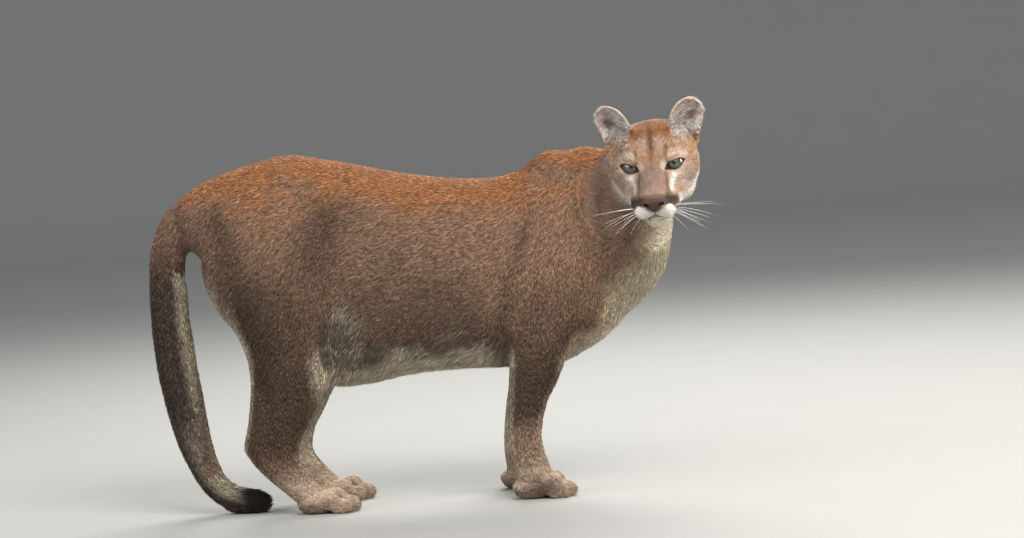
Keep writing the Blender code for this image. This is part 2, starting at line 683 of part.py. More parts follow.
def weigh(obj, name, weights):
    """Gives each vertex its weight in a group of that name."""
    group = obj.vertex_groups.new(name=name)
    levels = np.clip((weights * 20).round().astype(int), 0, 20)
    for level in range(21):
        members = np.nonzero(levels == level)[0]
        if len(members):
            group.add(members.tolist(), level / 20, "REPLACE")
    return group


def fuse(obj, voxel, soft, rounds):
    """Joins the object's overlapping forms into one surface and smooths it by the weights that soft gives."""
    remesh = obj.modifiers.new("fuse", "REMESH")
    remesh.mode = "VOXEL"
    remesh.voxel_size = voxel
    bake(obj)
    weigh(obj, "soft", soft(points_of(obj)))
    smooth = obj.modifiers.new("soften", "SMOOTH")
    smooth.iterations = rounds
    smooth.factor = 0.5
    smooth.vertex_group = "soft"
    bake(obj)
    obj.vertex_groups.clear()
    return obj


def body_softness(points):
    """How much the body is smoothed: fully on the trunk, little on the lower legs and the tail."""
    low = fade(points[:, 2], *SOFT_LEG_HEIGHTS)
    tail = fade(points[:, 0], *SOFT_TAIL_PLACES)
    return SOFT_LEAST + (1 - SOFT_LEAST) * np.minimum(low, tail)


def on_ears(at):
    """The share of each point, given in the head's frame, that belongs to an ear."""
    return fade(at[:, 2] - at[:, 0] * EAR_LINE_SLOPE, *EAR_LINE) * (np.linalg.norm(at, axis=1) < HEAD_REACH)


def face_softness(points):
    """How much the whole is smoothed the second time: the ears and the toes keep most of their form."""
    toes = 1 - fade(points[:, 2], *TOE_HEIGHTS)
    return 1.0 - FORM_KEPT * np.maximum(on_ears(in_head(points)), toes)


def fused():
    """The whole animal as one smooth surface."""
    tail = [((x, y, z), r) for x, y, z, r in TAIL]
    core = [trunk_like("trunk", TRUNK, TRUNK_SQUARENESS)]
    core.append(pipe("neck", *zip(*NECK)))
    core.append(pipe("tail", [p for p, _ in tail], [r for _, r in tail], [r for _, r in tail]))
    core += muscles() + legs()
    body = fuse(joined("body", core), CORE_VOXEL, body_softness, CORE_SMOOTHING)
    stroke(body, BODY_STROKES)
    forms = [body] + paws() + head_forms()
    whole = fuse(joined("whole", forms), FUSE_VOXEL, face_softness, FUSE_SMOOTHING)
    stroke(whole, FINE_STROKES, head_frame())
    return whole


def thinned(whole):
    """The whole with fewer triangles, which stay close together on the face and the paws."""
    points = points_of(whole)
    at = in_head(points)
    face = np.linalg.norm((at - np.array(FACE_MIDDLE)) / np.array(FACE_REACH), axis=1)
    places = [
        (CARE["head"], 1 - fade(np.linalg.norm(at, axis=1), *HEAD_EDGE)),
        (CARE["face"], 1 - fade(face, *FACE_EDGE)),
        (CARE["paws"], 1 - fade(points[:, 2], *PAW_HEIGHTS)),
        (CARE["ears"], on_ears(at)),
    ]
    for side in (1, -1):
        eye = np.linalg.norm(at - np.array(EYE_PLACE) * (1, side, 1), axis=1)
        places.append((CARE["eyes"], 1 - fade(eye, *EYE_EDGE)))
    detail = np.max([care * share for care, share in places], axis=0)
    weigh(whole, "thin", 1.0 - detail)
    thin = whole.modifiers.new("thin", "DECIMATE")
    faces = sum(len(polygon.vertices) - 2 for polygon in whole.data.polygons)
    thin.ratio = BODY_TRIANGLES / faces
    thin.vertex_group = "thin"
    thin.vertex_group_factor = THINNING_CARE
    thin.use_collapse_triangulate = True
    bake(whole)
    whole.vertex_groups.clear()
    return whole


def boolean(obj, cutter, operation):
    """The object after one exact cut; the cutter is kept."""
    cut = obj.modifiers.new("cut", "BOOLEAN")
    cut.operation = operation
    cut.solver = "EXACT"
    cut.object = cutter
    bake(obj)
    bm = bmesh.new()
    bm.from_mesh(obj.data)
    bmesh.ops.remove_doubles(bm, verts=bm.verts, dist=WELD)
    bmesh.ops.dissolve_degenerate(bm, dist=WELD, edges=bm.edges)
    bmesh.ops.triangulate(bm, faces=bm.faces)
    bm.to_mesh(obj.data)
    bm.free()
    return obj


def islands(obj):
    """The object's separate closed surfaces as new objects; the object is removed."""
    bm = bmesh.new()
    bm.from_mesh(obj.data)
    left = set(bm.verts)
    groups = []
    while left:
        seed = left.pop()
        group, edge = {seed}, [seed]
        while edge:
            vert = edge.pop()
            for link in vert.link_edges:
                other = link.other_vert(vert)
                if other in left:
                    left.remove(other)
                    group.add(other)
                    edge.append(other)
        groups.append(group)
    made = []
    for group in groups:
        index = {vert: k for k, vert in enumerate(group)}
        faces = [[index[v] for v in face.verts] for face in bm.faces if face.verts[0] in group]
        mesh = bpy.data.meshes.new("piece")
        mesh.from_pydata([vert.co.copy() for vert in group], [], faces)
        piece = bpy.data.objects.new("piece", mesh)
        bpy.context.scene.collection.objects.link(piece)
        made.append(piece)
    bm.free()
    bpy.data.objects.remove(obj)
    return made


def largest(obj, name):
    """Keeps the object's largest closed surface under the given name."""
    pieces = sorted(islands(obj), key=spread_of)
    for piece in pieces[:-1]:
        bpy.data.objects.remove(piece)
    pieces[-1].name = name
    return pieces[-1]


def spread_of(obj):
    """The volume of the object's box."""
    points = points_of(obj)
    return float(np.prod(points.max(0) - points.min(0)))


def copy_of(obj, name):
    """A second object with a mesh of its own."""
    twin = bpy.data.objects.new(name, obj.data.copy())
    bpy.context.scene.collection.objects.link(twin)
    return twin


def slab(name, middle, normal, reach):
    """A plate of the cut's thickness with the given middle, normal and half sizes."""
    normal = Vector(normal).normalized()
    side = Vector((0.0, 1.0, 0.0))
    side = (side - normal * side.dot(normal)).normalized()
    up = normal.cross(side)
    turn = Matrix((normal, side, up)).transposed().to_4x4()
    place = Matrix.Translation(middle) @ turn
    return box(name, (-GAP / 2, -reach[0], -reach[1]), (GAP / 2, reach[0], reach[1]), place)


def limb_region(region, side, grow):
    """A prism round the upper part of a limb: upright inside between the legs, then leaning into the body."""
    (x0_low, x0_high), (x1_low, x1_high), (inner, lean_from), (inner_top, top) = region
    profile = (
        (inner - grow, LIMB_BOTTOM),
        (LIMB_OUTSIDE, LIMB_BOTTOM),
        (LIMB_OUTSIDE, top + grow),
        (inner_top - grow, top + grow),
        (inner - grow, lean_from),
    )
    ends = []
    for low, high, out in ((x0_low, x0_high, -grow), (x1_low, x1_high, grow)):
        end = []
        for y, z in profile:
            share = (z - LIMB_BOTTOM) / (top - LIMB_BOTTOM)
            end.append((low + (high - low) * share + out, side * y, z))
        ends.append(end)
    return prism("region", ends)


def parted(whole):
    """The whole cut into its named parts by thin flat cuts."""
    plates = joined("plates", [slab("plate", *row) for row in PLATES])
    pieces = islands(boolean(whole, plates, "DIFFERENCE"))
    bpy.data.objects.remove(plates)
    named = {}
    for name, marker in MARKERS.items():
        mark = Vector(marker)
        piece = min(pieces, key=lambda obj: min((v.co - mark).length for v in obj.data.vertices))
        pieces.remove(piece)
        piece.name = name
        named[name] = piece
    for piece in pieces:
        bpy.data.objects.remove(piece)
    torso = named["torso"]
    for kind, region in LIMB_REGIONS.items():
        for side, word in ((1, "left"), (-1, "right")):
            inside, outside = limb_region(region, side, 0.0), limb_region(region, side, GAP)
            limb = boolean(copy_of(torso, "limb"), inside, "INTERSECT")
            named[f"{kind}_{word}"] = largest(limb, f"{kind}_{word}")
            boolean(torso, outside, "DIFFERENCE")
            bpy.data.objects.remove(inside)
            bpy.data.objects.remove(outside)
    named["torso"] = largest(torso, "torso")
    return named


def prism(name, ends):
    """A closed prism between two outlines with the same number of points."""
    bm = bmesh.new()
    rings = [[bm.verts.new(p) for p in end] for end in ends]
    for ring in rings:
        bm.faces.new(ring)
    for i in range(len(rings[0])):
        j = (i + 1) % len(rings[0])
        bm.faces.new((rings[0][i], rings[0][j], rings[1][j], rings[1][i]))
    return mesh_object(name, bm)


def almond(side, place):
    """A prism with the outline of the eye's opening, which runs out of the head through the eyelids."""
    x, y, z = EYE_PLACE
    centre = Vector((x, side * y, z))
    forward = Vector((math.cos(EYE_TURN) * math.cos(EYE_LIFT), side * math.sin(EYE_TURN), math.sin(EYE_LIFT)))
    forward.normalize()
    along = Vector((0.0, side * math.cos(EYE_TILT), math.sin(EYE_TILT)))
    along = (along - forward * along.dot(forward)).normalized()
    up = forward.cross(along) * side
    outline = []
    for k in range(ALMOND_POINTS):
        s = math.cos(k / ALMOND_POINTS * 2 * math.pi)
        tall = LID_HEIGHTS[0] if k <= ALMOND_POINTS // 2 else -LID_HEIGHTS[1]
        t = tall * (1 - abs(s) ** ALMOND_FULLNESS)
        outline.append(along * (s * EYE_OPENING / 2) + up * t)
    ends = []
    for depth in ALMOND_DEPTHS:
        ends.append([place @ (centre + forward * depth + p) for p in outline])
    return prism("almond", ends)


def mouth_blade(place):
    """A thin bent blade along the line of the closed mouth."""
    bm = bmesh.new()
    half = [Vector(p) for p in MOUTH_LINE]
    line = [Vector((p.x, -p.y, p.z)) for p in reversed(half[1:])] + half
    heart = Vector(MOUTH_HEART)
    rise = Vector((0.0, 0.0, MOUTH_GAP / 2))
    rows = []
    for p in line:
        inward = (heart - p).normalized()
        outer, inner = p - inward * MOUTH_BEYOND, p + inward * MOUTH_DEPTH
        corners = (outer + rise, inner + rise, inner - rise, outer - rise)
        rows.append([bm.verts.new(place @ corner) for corner in corners])
    for a, b in zip(rows, rows[1:]):
        for i in range(4):
            j = (i + 1) % 4
            bm.faces.new((a[i], a[j], b[j], b[i]))
    bm.faces.new(rows[0])
    bm.faces.new(rows[-1])
    return mesh_object("mouth", bm)


def nose_prism(place, grow):
    """A prism with the outline of the nose leather."""
    half = [(y + out * grow, z + up * grow) for y, z, out, up in NOSE_OUTLINE]
    outline = half + [(-y, z) for y, z in reversed(half)]
    ends = [[place @ Vector((x, y, z)) for y, z in outline] for x in (NOSE_DEPTH - grow, NOSE_BEYOND)]
    return prism("nose_prism", ends)


def ear_box(side, place, grow):
    """A box round the part of an ear that stands free of the skull."""
    foot, forward, across, up = ear_axes(side)
    turn = Matrix((forward, across, up)).transposed().to_4x4()
    local = place @ Matrix.Translation(foot) @ turn
    return box("ear_box", (-0.07, -0.07, EAR_CUT - grow), (0.07, 0.07, 0.15), local)


def face_parts(head):
    """Carves the head's eyes, mouth and nostrils and takes off its nose and ears."""
    place = head_frame()
    named = {}
    for side in (1, -1):
        for cutter in (socket(side, place), almond(side, place)):
            boolean(head, cutter, "DIFFERENCE")
            bpy.data.objects.remove(cutter)
    blade = mouth_blade(place)
    boolean(head, blade, "DIFFERENCE")
    bpy.data.objects.remove(blade)
    for side in (1, -1):
        x, y, z = NOSTRIL
        lean = Matrix.Rotation(side * NOSTRIL_LEAN, 4, "X")
        hole = ellipsoid("nostril", (0, 0, 0), NOSTRIL_HALVES, lean, 12)
        hole.data.transform(place @ Matrix.Translation((x, side * y, z)))
        boolean(head, hole, "DIFFERENCE")
        bpy.data.objects.remove(hole)
    cuts = [("nose", nose_prism(place, 0.0), nose_prism(place, GAP))]
    for side, word in ((1, "left"), (-1, "right")):
        cuts.append((f"ear_{word}", ear_box(side, place, 0.0), ear_box(side, place, GAP)))
    for name, inner, outer in cuts:
        piece = boolean(copy_of(head, name), inner, "INTERSECT")
        named[name] = largest(piece, name)
        boolean(head, outer, "DIFFERENCE")
        bpy.data.objects.remove(inner)
        bpy.data.objects.remove(outer)
    named["head"] = largest(head, "head")
    for side, word in ((1, "left"), (-1, "right")):
        x, y, z = EYE_PLACE
        ball = ellipsoid(f"eye_{word}", (x, side * y, z), (EYE_RADIUS,) * 3, segments=20)
        ball.data.transform(place)
        named[f"eye_{word}"] = ball
    return named


def socket(side, place):
    """A ball a little larger than the eye, which hollows its socket."""
    x, y, z = EYE_PLACE
    hollow = ellipsoid("socket", (x, side * y, z), (EYE_RADIUS + GAP,) * 3, segments=20)
    hollow.data.transform(place)
    return hollow


def flattened(whole, level):
    """The whole with its soles and the resting length of its tail flat at one level."""
    points = points_of(whole)
    points[:, 2] = np.maximum(points[:, 2], level)
    whole.data.vertices.foreach_set("co", points.astype(np.float32).ravel())
    whole.data.update()
    return whole


def coloured(named):
    """Gives each part a plain material of its own and smooth shading."""
    for name, obj in named.items():
        kind = next(key for key in COLOURS if name.startswith(key))
        material = bpy.data.materials.new(name)
        material.use_nodes = True
        shader = material.node_tree.nodes["Principled BSDF"]
        shader.inputs["Base Color"].default_value = (*COLOURS[kind][0], 1.0)
        shader.inputs["Roughness"].default_value = COLOURS[kind][1]
        material.diffuse_color = (*COLOURS[kind][0], 1.0)
        obj.data.materials.clear()
        obj.data.materials.append(material)
        obj.data.name = name
        obj.data.set_sharp_from_angle(angle=math.radians(50))


def centred(named):
    """Moves every part so that the middle of the whole's box stands on the origin."""
    every = np.vstack([points_of(obj) for obj in named.values()])
    low, high = every.min(0), every.max(0)
    shift = Vector((-(low[0] + high[0]) / 2, -(low[1] + high[1]) / 2, -low[2]))
    for obj in named.values():
        obj.data.transform(Matrix.Translation(shift))


def main():
    """Clears the scene and builds the parts."""
    for obj in list(bpy.data.objects):
        bpy.data.objects.remove(obj)
    whole = flattened(thinned(flattened(fused(), SOLE_LEVEL)), THINNED_SOLE_LEVEL)
    named = parted(whole)
    named.update(face_parts(named.pop("head")))
    coloured(named)
    centred(named)


if __name__ == "__main__":
    main()
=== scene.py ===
"""The skin, coat, face and eyes of a life-size standing cougar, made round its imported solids.

Body coordinates have +X to the front, +Y to the animal's left and +Z up, from the floor under the shoulders.
Head coordinates have X to the nose, Y to the head's left and Z up, from the point midway between the eyes.
"""

import math

import bmesh
import bpy
import numpy as np
from bpy.props import FloatProperty, FloatVectorProperty, IntProperty, PointerProperty
from mathutils import Matrix, Vector


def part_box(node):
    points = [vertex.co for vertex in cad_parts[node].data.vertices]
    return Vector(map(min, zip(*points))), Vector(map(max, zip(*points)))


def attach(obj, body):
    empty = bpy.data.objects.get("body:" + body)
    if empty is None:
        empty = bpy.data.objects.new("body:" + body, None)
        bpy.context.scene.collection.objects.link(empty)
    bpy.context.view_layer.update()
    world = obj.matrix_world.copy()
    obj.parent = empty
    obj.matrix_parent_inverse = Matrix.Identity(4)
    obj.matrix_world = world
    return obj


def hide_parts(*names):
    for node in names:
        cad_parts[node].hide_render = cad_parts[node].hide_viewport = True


bl_info = {
    "name": "Cougar Coat and Face",
    "version": (1, 0, 0),
    "blender": (4, 5, 0),
    "location": "View3D > Sidebar > Cougar",
    "description": "Dresses the solids of a standing cougar in skin, fur, eyes and whiskers",
    "category": "Object",
}

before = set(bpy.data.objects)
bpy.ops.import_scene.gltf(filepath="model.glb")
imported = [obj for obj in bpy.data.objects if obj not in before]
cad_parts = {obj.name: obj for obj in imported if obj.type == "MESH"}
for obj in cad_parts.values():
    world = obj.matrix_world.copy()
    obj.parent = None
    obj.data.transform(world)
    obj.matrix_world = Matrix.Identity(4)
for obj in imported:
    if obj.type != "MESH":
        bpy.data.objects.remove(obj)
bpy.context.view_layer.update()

# How the head is turned, and where the eyes and the head lie in their own coordinates
HEAD_YAW = math.radians(-93.5)
HEAD_PITCH = math.radians(22.0)
HEAD_ROLL = math.radians(2.2)
HEAD_IN_BODY = (0.3, -0.2, 0.648)
EYE_PLACE = (-0.0115, 0.0415, -0.0025)
EYE_RADIUS = 0.0185
EYE_TURN = math.radians(12.0)
EYE_LIFT = math.radians(12.0)
EYE_TILT = math.radians(15.0)
EYE_OPENING = 0.041
LID_HEIGHTS = (0.0076, 0.0084)
LID_FULLNESS = (2.9, 2.0)
EAR_AXIS = (-0.08, 0.4, 0.905)
EAR_ACROSS = (-0.3, 0.95, -0.31)
EAR_BASE = (-0.06, 0.064, 0.0385)
EAR_LENGTH = 0.069
EAR_HALF_WIDTH = 0.035

# Nodes of flesh that the skin stands for. The eye nodes, which only fill its eye sockets, are gathered with
# them but not listed here.
FLESH = (
    "head", "nose", "ear_left", "ear_right", "neck", "torso",
    "shoulder_left", "shoulder_right", "foreleg_left", "foreleg_right", "forepaw_left", "forepaw_right",
    "thigh_left", "thigh_right", "shank_left", "shank_right", "hind_paw_left", "hind_paw_right",
    "tail_1", "tail_2", "tail_3",
)
SIDES = ((1, "left"), (-1, "right"))
MERGE = 0.00002
SWELL = 0.0009


def eye_middle(word):
    low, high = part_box(f"eye_{word}")
    return (low + high) / 2


def head_matrix():
    """The matrix that carries head coordinates to the model's."""
    turn = (
        Matrix.Rotation(HEAD_YAW, 4, "Z")
        @ Matrix.Rotation(HEAD_PITCH, 4, "Y")
        @ Matrix.Rotation(HEAD_ROLL, 4, "X")
    )
    between = (eye_middle("left") + eye_middle("right")) / 2
    back = turn @ Vector((EYE_PLACE[0], 0.0, EYE_PLACE[2]))
    return Matrix.Translation(between - back) @ turn


HEAD = head_matrix()
BODY = HEAD.translation - Vector(HEAD_IN_BODY)
HEAD_AXES = np.array(HEAD)[:3, :3]


def to_body(points):
    return points - np.array(BODY)


def to_head(points):
    return (points - np.array(HEAD.translation)) @ HEAD_AXES


def fade(value, low, high):
    """0 below low, 1 above high, and smooth between."""
    t = np.clip((value - low) / (high - low), 0.0, 1.0)
    return t * t * (3 - 2 * t)


def mixed(a, b, share):
    """a where the share is 0 and b where it is 1, row by row."""
    share = np.asarray(share)[:, None]
    return a * (1 - share) + b * share


def unit(vectors):
    return vectors / np.maximum(np.linalg.norm(vectors, axis=1), 1e-9)[:, None]


def folded(at):
    """The points with those on the right carried over to the left."""
    return at * (1, 0, 1) + np.abs(at) * (0, 1, 0)


def spot(at, middle, reach, sharp=1.0):
    """1 at the middle and 0 beyond the reach, alike on both sides of the head or body."""
    away = np.linalg.norm((folded(at) - np.array(middle)) / np.array(reach), axis=1)
    return np.clip((1 - away**2) * sharp, 0.0, 1.0)


def ripple(points, size, seed):
    """A smooth, irregular wave between about -1 and 1, the same each run."""
    rng = np.random.default_rng(seed)
    total = np.zeros(len(points))
    for _ in range(6):
        direction = rng.normal(size=3)
        direction /= np.linalg.norm(direction)
        pace = 2 * math.pi / size * rng.uniform(0.7, 1.4)
        total += np.sin(points @ direction * pace + rng.uniform(0, 6.28))
    return total / 3.0


def line_distance(at, line):
    """Each point's distance to a chain of straight stretches."""
    best = np.full(len(at), np.inf)
    for a, b in zip(np.array(line[:-1]), np.array(line[1:])):
        t = np.clip(((at - a) @ (b - a)) / ((b - a) @ (b - a)), 0.0, 1.0)
        best = np.minimum(best, np.linalg.norm(at - a - t[:, None] * (b - a), axis=1))
    return best


def numbers(items, field, width=3, kind=np.float32):
    found = np.empty(len(items) * width, kind)
    items.foreach_get(field, found)
    return found.reshape(-1, width).astype(float) if width > 1 else found


def points_of(mesh):
    return numbers(mesh.vertices, "co")


def normals_of(mesh):
    return numbers(mesh.vertex_normals, "vector")


def put_points(mesh, points):
    mesh.vertices.foreach_set("co", points.astype(np.float32).ravel())
    mesh.update()


def piece(name, mesh):
    """A new object at the origin that holds the mesh."""
    obj = bpy.data.objects.new(name, mesh)
    bpy.context.scene.collection.objects.link(obj)
    return obj


def from_bmesh(name, bm):
    mesh = bpy.data.meshes.new(name)
    bm.to_mesh(mesh)
    bm.free()
    return piece(name, mesh)


def settled(obj):
    """Replaces the object's mesh by what its modifiers make of it."""
    bpy.context.view_layer.update()
    graph = bpy.context.evaluated_depsgraph_get()
    mesh = bpy.data.meshes.new_from_object(obj.evaluated_get(graph))
    old = obj.data
    obj.modifiers.clear()
    obj.data = mesh
    bpy.data.meshes.remove(old)
    return obj


WEIGHT_STEPS = 20


def weighted(obj, kind, weights, **fields):
    """Replaces the object's mesh by what one modifier makes of it, as strongly as each weight says."""
    group = obj.vertex_groups.new(name="share")
    levels = np.clip((weights * WEIGHT_STEPS).round().astype(int), 0, WEIGHT_STEPS)
    for level in range(WEIGHT_STEPS + 1):
        members = np.nonzero(levels == level)[0]
        if len(members):
            group.add(members.tolist(), level / WEIGHT_STEPS, "REPLACE")
    modifier = obj.modifiers.new("share", kind)
    modifier.vertex_group = "share"
    for field, value in fields.items():
        setattr(modifier, field, value)
    settled(obj)
    obj.vertex_groups.clear()


# Places on the animal, each as a share from 0 to 1. The numbers are metres along an axis: where a share
# starts to grow and where it is full.


def on_head(h):
    return (1 - fade(-h[:, 0], 0.11, 0.165)) * (1 - fade(np.linalg.norm(h, axis=1), 0.17, 0.205))


def on_ears(h):
    reach = 1 - fade(np.linalg.norm(h, axis=1), 0.19, 0.205)
    return fade(h[:, 2] + h[:, 0] * 0.2, 0.046, 0.062) * fade(np.abs(h[:, 1]), 0.03, 0.05) * reach


def on_face(h):
    return 1 - fade(np.linalg.norm((h - (0.03, 0.0, -0.03)) / (0.075, 0.08, 0.08), axis=1), 0.75, 1.25)


def on_tail(b):
    upright = fade(-b[:, 0], 0.64, 0.665)
    lying = fade(-b[:, 0], 0.49, 0.5) * (1 - fade(b[:, 2], 0.075, 0.1)) * (np.abs(b[:, 1] + 0.02) < 0.055)
    return np.maximum(upright, lying)


def on_legs(b):
    return (1 - fade(b[:, 2], 0.25, 0.34)) * (1 - on_tail(b))


def on_paws(b):
    return (1 - fade(b[:, 2], 0.06, 0.095)) * (1 - on_tail(b))


def on_belly(b, n):
    under = fade(-n[:, 2], 0.1, 0.75)
    between = fade(b[:, 0], -0.44, -0.37) * (1 - fade(b[:, 0], 0.05, 0.16))
    return under * between * (1 - fade(b[:, 2], 0.33, 0.42)) * fade(b[:, 2], 0.2, 0.25)


def in_ears(h, n):
    """The hollow front of each ear, where the surface faces forwards."""
    inside = np.zeros(len(h))
    for side, _ in SIDES:
        foot, forward, across, up = ear_axes(side)
        at = h - foot
        low = at @ up
        facing = (n @ HEAD_AXES) @ forward
        wide = np.abs(at @ across) < EAR_HALF_WIDTH * (0.75 + 0.4 * fade(low, -0.005, 0.01))
        inside = np.maximum(inside, fade(facing, 0.05, 0.35) * fade(low, -0.016, -0.006) * wide)
    return inside * (np.linalg.norm(h, axis=1) < 0.2)


def ear_axes(side):
    """An ear's foot and its forward, outward and upward directions, in head coordinates."""
    mirror = Vector((1.0, side, 1.0))
    up = (Vector(EAR_AXIS) * mirror).normalized()
    across = Vector(EAR_ACROSS) * mirror
    across = (across - up * across.dot(up)).normalized()
    forward = across.cross(up) * side
    return np.array(Vector(EAR_BASE) * mirror), np.array(forward), np.array(across), np.array(up)


def ear_rim(h):
    """The thin edge round each ear."""
    rim = np.zeros(len(h))
    for side, _ in SIDES:
        foot, _, across, up = ear_axes(side)
        at = h - foot
        sideways, tall = (at @ across) / EAR_HALF_WIDTH, (at @ up) / EAR_LENGTH
        outwards = np.hypot(sideways, np.maximum(tall - 0.35, 0) * 1.5)
        rim = np.maximum(rim, fade(outwards, 0.82, 0.98) * (h[:, 1] * side > 0))
    return rim * on_ears(h)


def eye_axes(side):
    """An eye's middle and its forward, outward and upward directions, in head coordinates."""
    x, y, z = EYE_PLACE
    forward = Vector((math.cos(EYE_TURN) * math.cos(EYE_LIFT), side * math.sin(EYE_TURN), math.sin(EYE_LIFT)))
    forward.normalize()
    along = Vector((0.0, side * math.cos(EYE_TILT), math.sin(EYE_TILT)))
    along = (along - forward * along.dot(forward)).normalized()
    up = forward.cross(along) * side
    return np.array((x, side * y, z)), np.array(forward), np.array(along), np.array(up)


def lid_heights(s):
    """The heights of the upper and lower lid at a share of the way from the eye's middle to its corners."""
    share = np.minimum(np.abs(s), 1.0)
    return tuple(tall * (1 - share**full) for tall, full in zip(LID_HEIGHTS, LID_FULLNESS))


def eye_margin(h, side):
    """How far each point lies inside the eye's opening, negative outside it, and how far forwards."""
    middle, forward, along, up = eye_axes(side)
    at = h - middle
    s = at @ along / (EYE_OPENING / 2)
    t = at @ up
    top, low = lid_heights(s)
    beyond = (np.abs(s) - 1) * EYE_OPENING / 2
    margin = np.minimum(top - t, t + low)
    return np.where(beyond > 0, -np.hypot(np.maximum(beyond, 0), t), margin), at @ forward


# The regions in the order in which each one's value takes the place of the last
REGIONS = {
    "legs": lambda b, h: on_legs(b),
    "paws": lambda b, h: on_paws(b),
    "tail": lambda b, h: on_tail(b),
    "head": lambda b, h: on_head(h),
    "face": lambda b, h: on_face(h),
    "ears": lambda b, h: on_ears(h),
}
# Depth of the coat in metres, and what the belly's fringe adds to it
COAT_DEPTH = 0.004
FRINGE_DEPTH = 0.0034
FLOOR_DEPTH = 0.0004
COAT_DEPTHS = {"legs": 0.0032, "tail": 0.005, "head": 0.0022, "face": 0.0012, "ears": 0.0009}


def turned(start, value, share):
    """start where the share is 0 and the value where it is 1."""
    return start * (1 - share) + value * share


def regional(start, values, b, h):
    """start, turned into each region's value where that region lies."""
    for name in REGIONS:
        if name in values:
            start = turned(start, values[name], REGIONS[name](b, h))
    return start


def coat_depth(b, h, n):
    """How far the skin lies inside the outline of the coat."""
    depth = regional(COAT_DEPTH + FRINGE_DEPTH * on_belly(b, n), COAT_DEPTHS, b, h)
    return turned(depth, FLOOR_DEPTH, 1 - fade(b[:, 2], 0.004, 0.02))


def softness(b, h):
    """How much of the smoothing each place takes: much on the trunk, little on the paws and the face."""
    soft = 1 - 0.62 * on_legs(b)
    soft = soft * (1 - 0.93 * (1 - fade(b[:, 2], 0.055, 0.12)) * (1 - on_tail(b)))
    soft = soft * (1 - 0.55 * on_tail(b))
    soft = soft * (1 - 0.86 * on_head(h)) * (1 - 0.45 * on_ears(h))
    return soft


# Strokes that shape the face's skin: middle, reach and push in head coordinates, the same on both sides
FACE_STROKES = (
    ((0.07, 0.02, -0.068), (0.03, 0.024, 0.02), (0.002, 0.0012, -0.004)),
    ((0.046, 0.0, -0.096), (0.03, 0.03, 0.018), (0.005, 0.0, -0.003)),
    ((0.076, 0.0, -0.068), (0.02, 0.005, 0.014), (-0.003, 0.0, -0.001)),
    ((0.01, 0.04, 0.0125), (0.018, 0.026, 0.008), (0.0036, 0.0, -0.0022)),
    ((0.002, 0.06, 0.008), (0.018, 0.016, 0.009), (0.0016, 0.002, -0.0006)),
    ((0.012, 0.02, 0.008), (0.018, 0.01, 0.012), (0.0018, 0.0, 0.0)),
    ((-0.006, 0.0, 0.024), (0.024, 0.0065, 0.024), (-0.0018, 0.0, 0.0)),
    ((-0.004, 0.016, 0.03), (0.022, 0.01, 0.02), (0.0014, 0.0, 0.001)),
    ((0.003, 0.0295, 0.026), (0.016, 0.004, 0.012), (-0.0012, 0.0, 0.0)),
    ((0.012, 0.038, -0.018), (0.016, 0.022, 0.006), (0.002, 0.0, 0.0)),
    ((0.022, 0.024, -0.012), (0.018, 0.006, 0.01), (-0.0022, 0.0, 0.0)),
    ((0.05, 0.025, -0.029), (0.018, 0.005, 0.01), (-0.0012, -0.0012, 0.0)),
    ((0.062, 0.0, -0.018), (0.024, 0.012, 0.014), (0.001, 0.0, 0.0012)),
)
NOSTRIL = (0.085, 0.015, -0.0455)
NOSTRIL_SIZE = (0.012, 0.0062, 0.004)
NOSTRIL_DEPTH = 0.0055
NOSTRIL_INWARD = np.array([-1.0, 0.0, 0.15])
NOSTRIL_SLIT = ((0.08, 0.017, -0.047), (0.074, 0.0225, -0.043))
MOUTH_LINE = (
    (0.0695, 0.0, -0.0745),
    (0.0665, 0.012, -0.079),
    (0.0585, 0.021, -0.0838),
    (0.047, 0.034, -0.086),
    (0.025, 0.043, -0.081),
    (0.006, 0.047, -0.074),
)
PHILTRUM = ((0.079, 0.0, -0.058), (0.0695, 0.0, -0.0745))
# Lines pressed into the face, with their reach and depth
GROOVES = ((MOUTH_LINE, 0.003, 0.0026), (PHILTRUM, 0.0022, 0.002), (NOSTRIL_SLIT, 0.0024, 0.0024))
# The lids: their clearance over the ball, where and how deep the fold above them is, and how far they reach
LID_CLEARANCE = 0.0013
LID_THICKENING = 0.0006
LID_FOLD_RISE = 0.0042
LID_FOLD_WIDTH = 0.0011
LID_FOLD_DEPTH = 0.0009
LID_RANGE = 0.012
SOCKET_DEPTH = 0.006


def stroke(h, strokes):
    """The points after each stroke's push, most at its middle and none beyond its reach."""
    for middle, reach, push in strokes:
        for side in (1, -1) if middle[1] else (1,):
            mirror = np.array([1.0, side, 1.0])
            away = np.linalg.norm((h - np.array(middle) * mirror) / np.array(reach), axis=1)
            h = h + (np.clip(1 - away**2, 0.0, 1.0) ** 2)[:, None] * (np.array(push) * mirror)
    return h


def grooved(h, normals, line, reach, depth):
    """The points pressed in along a line and its mirror image, against their normals."""
    twin = folded(h)
    share = np.clip(1 - (line_distance(twin, line) / reach) ** 2, 0.0, 1.0) ** 1.5
    return h - normals * (share * depth)[:, None]


def shape_face(mesh):
    """Models the brow, lids, nose, lips and chin in the skin."""
    points = points_of(mesh)
    h = stroke(to_head(points), FACE_STROKES)
    normals = normals_of(mesh) @ HEAD_AXES
    for line, reach, depth in GROOVES:
        h = grooved(h, normals, line, reach, depth)
    hole = spot(h, NOSTRIL, NOSTRIL_SIZE) ** 0.7
    h = h + NOSTRIL_INWARD * (hole * NOSTRIL_DEPTH)[:, None]
    for side, _ in SIDES:
        h = lidded(h, side)
    put_points(mesh, h @ HEAD_AXES.T + np.array(HEAD.translation))


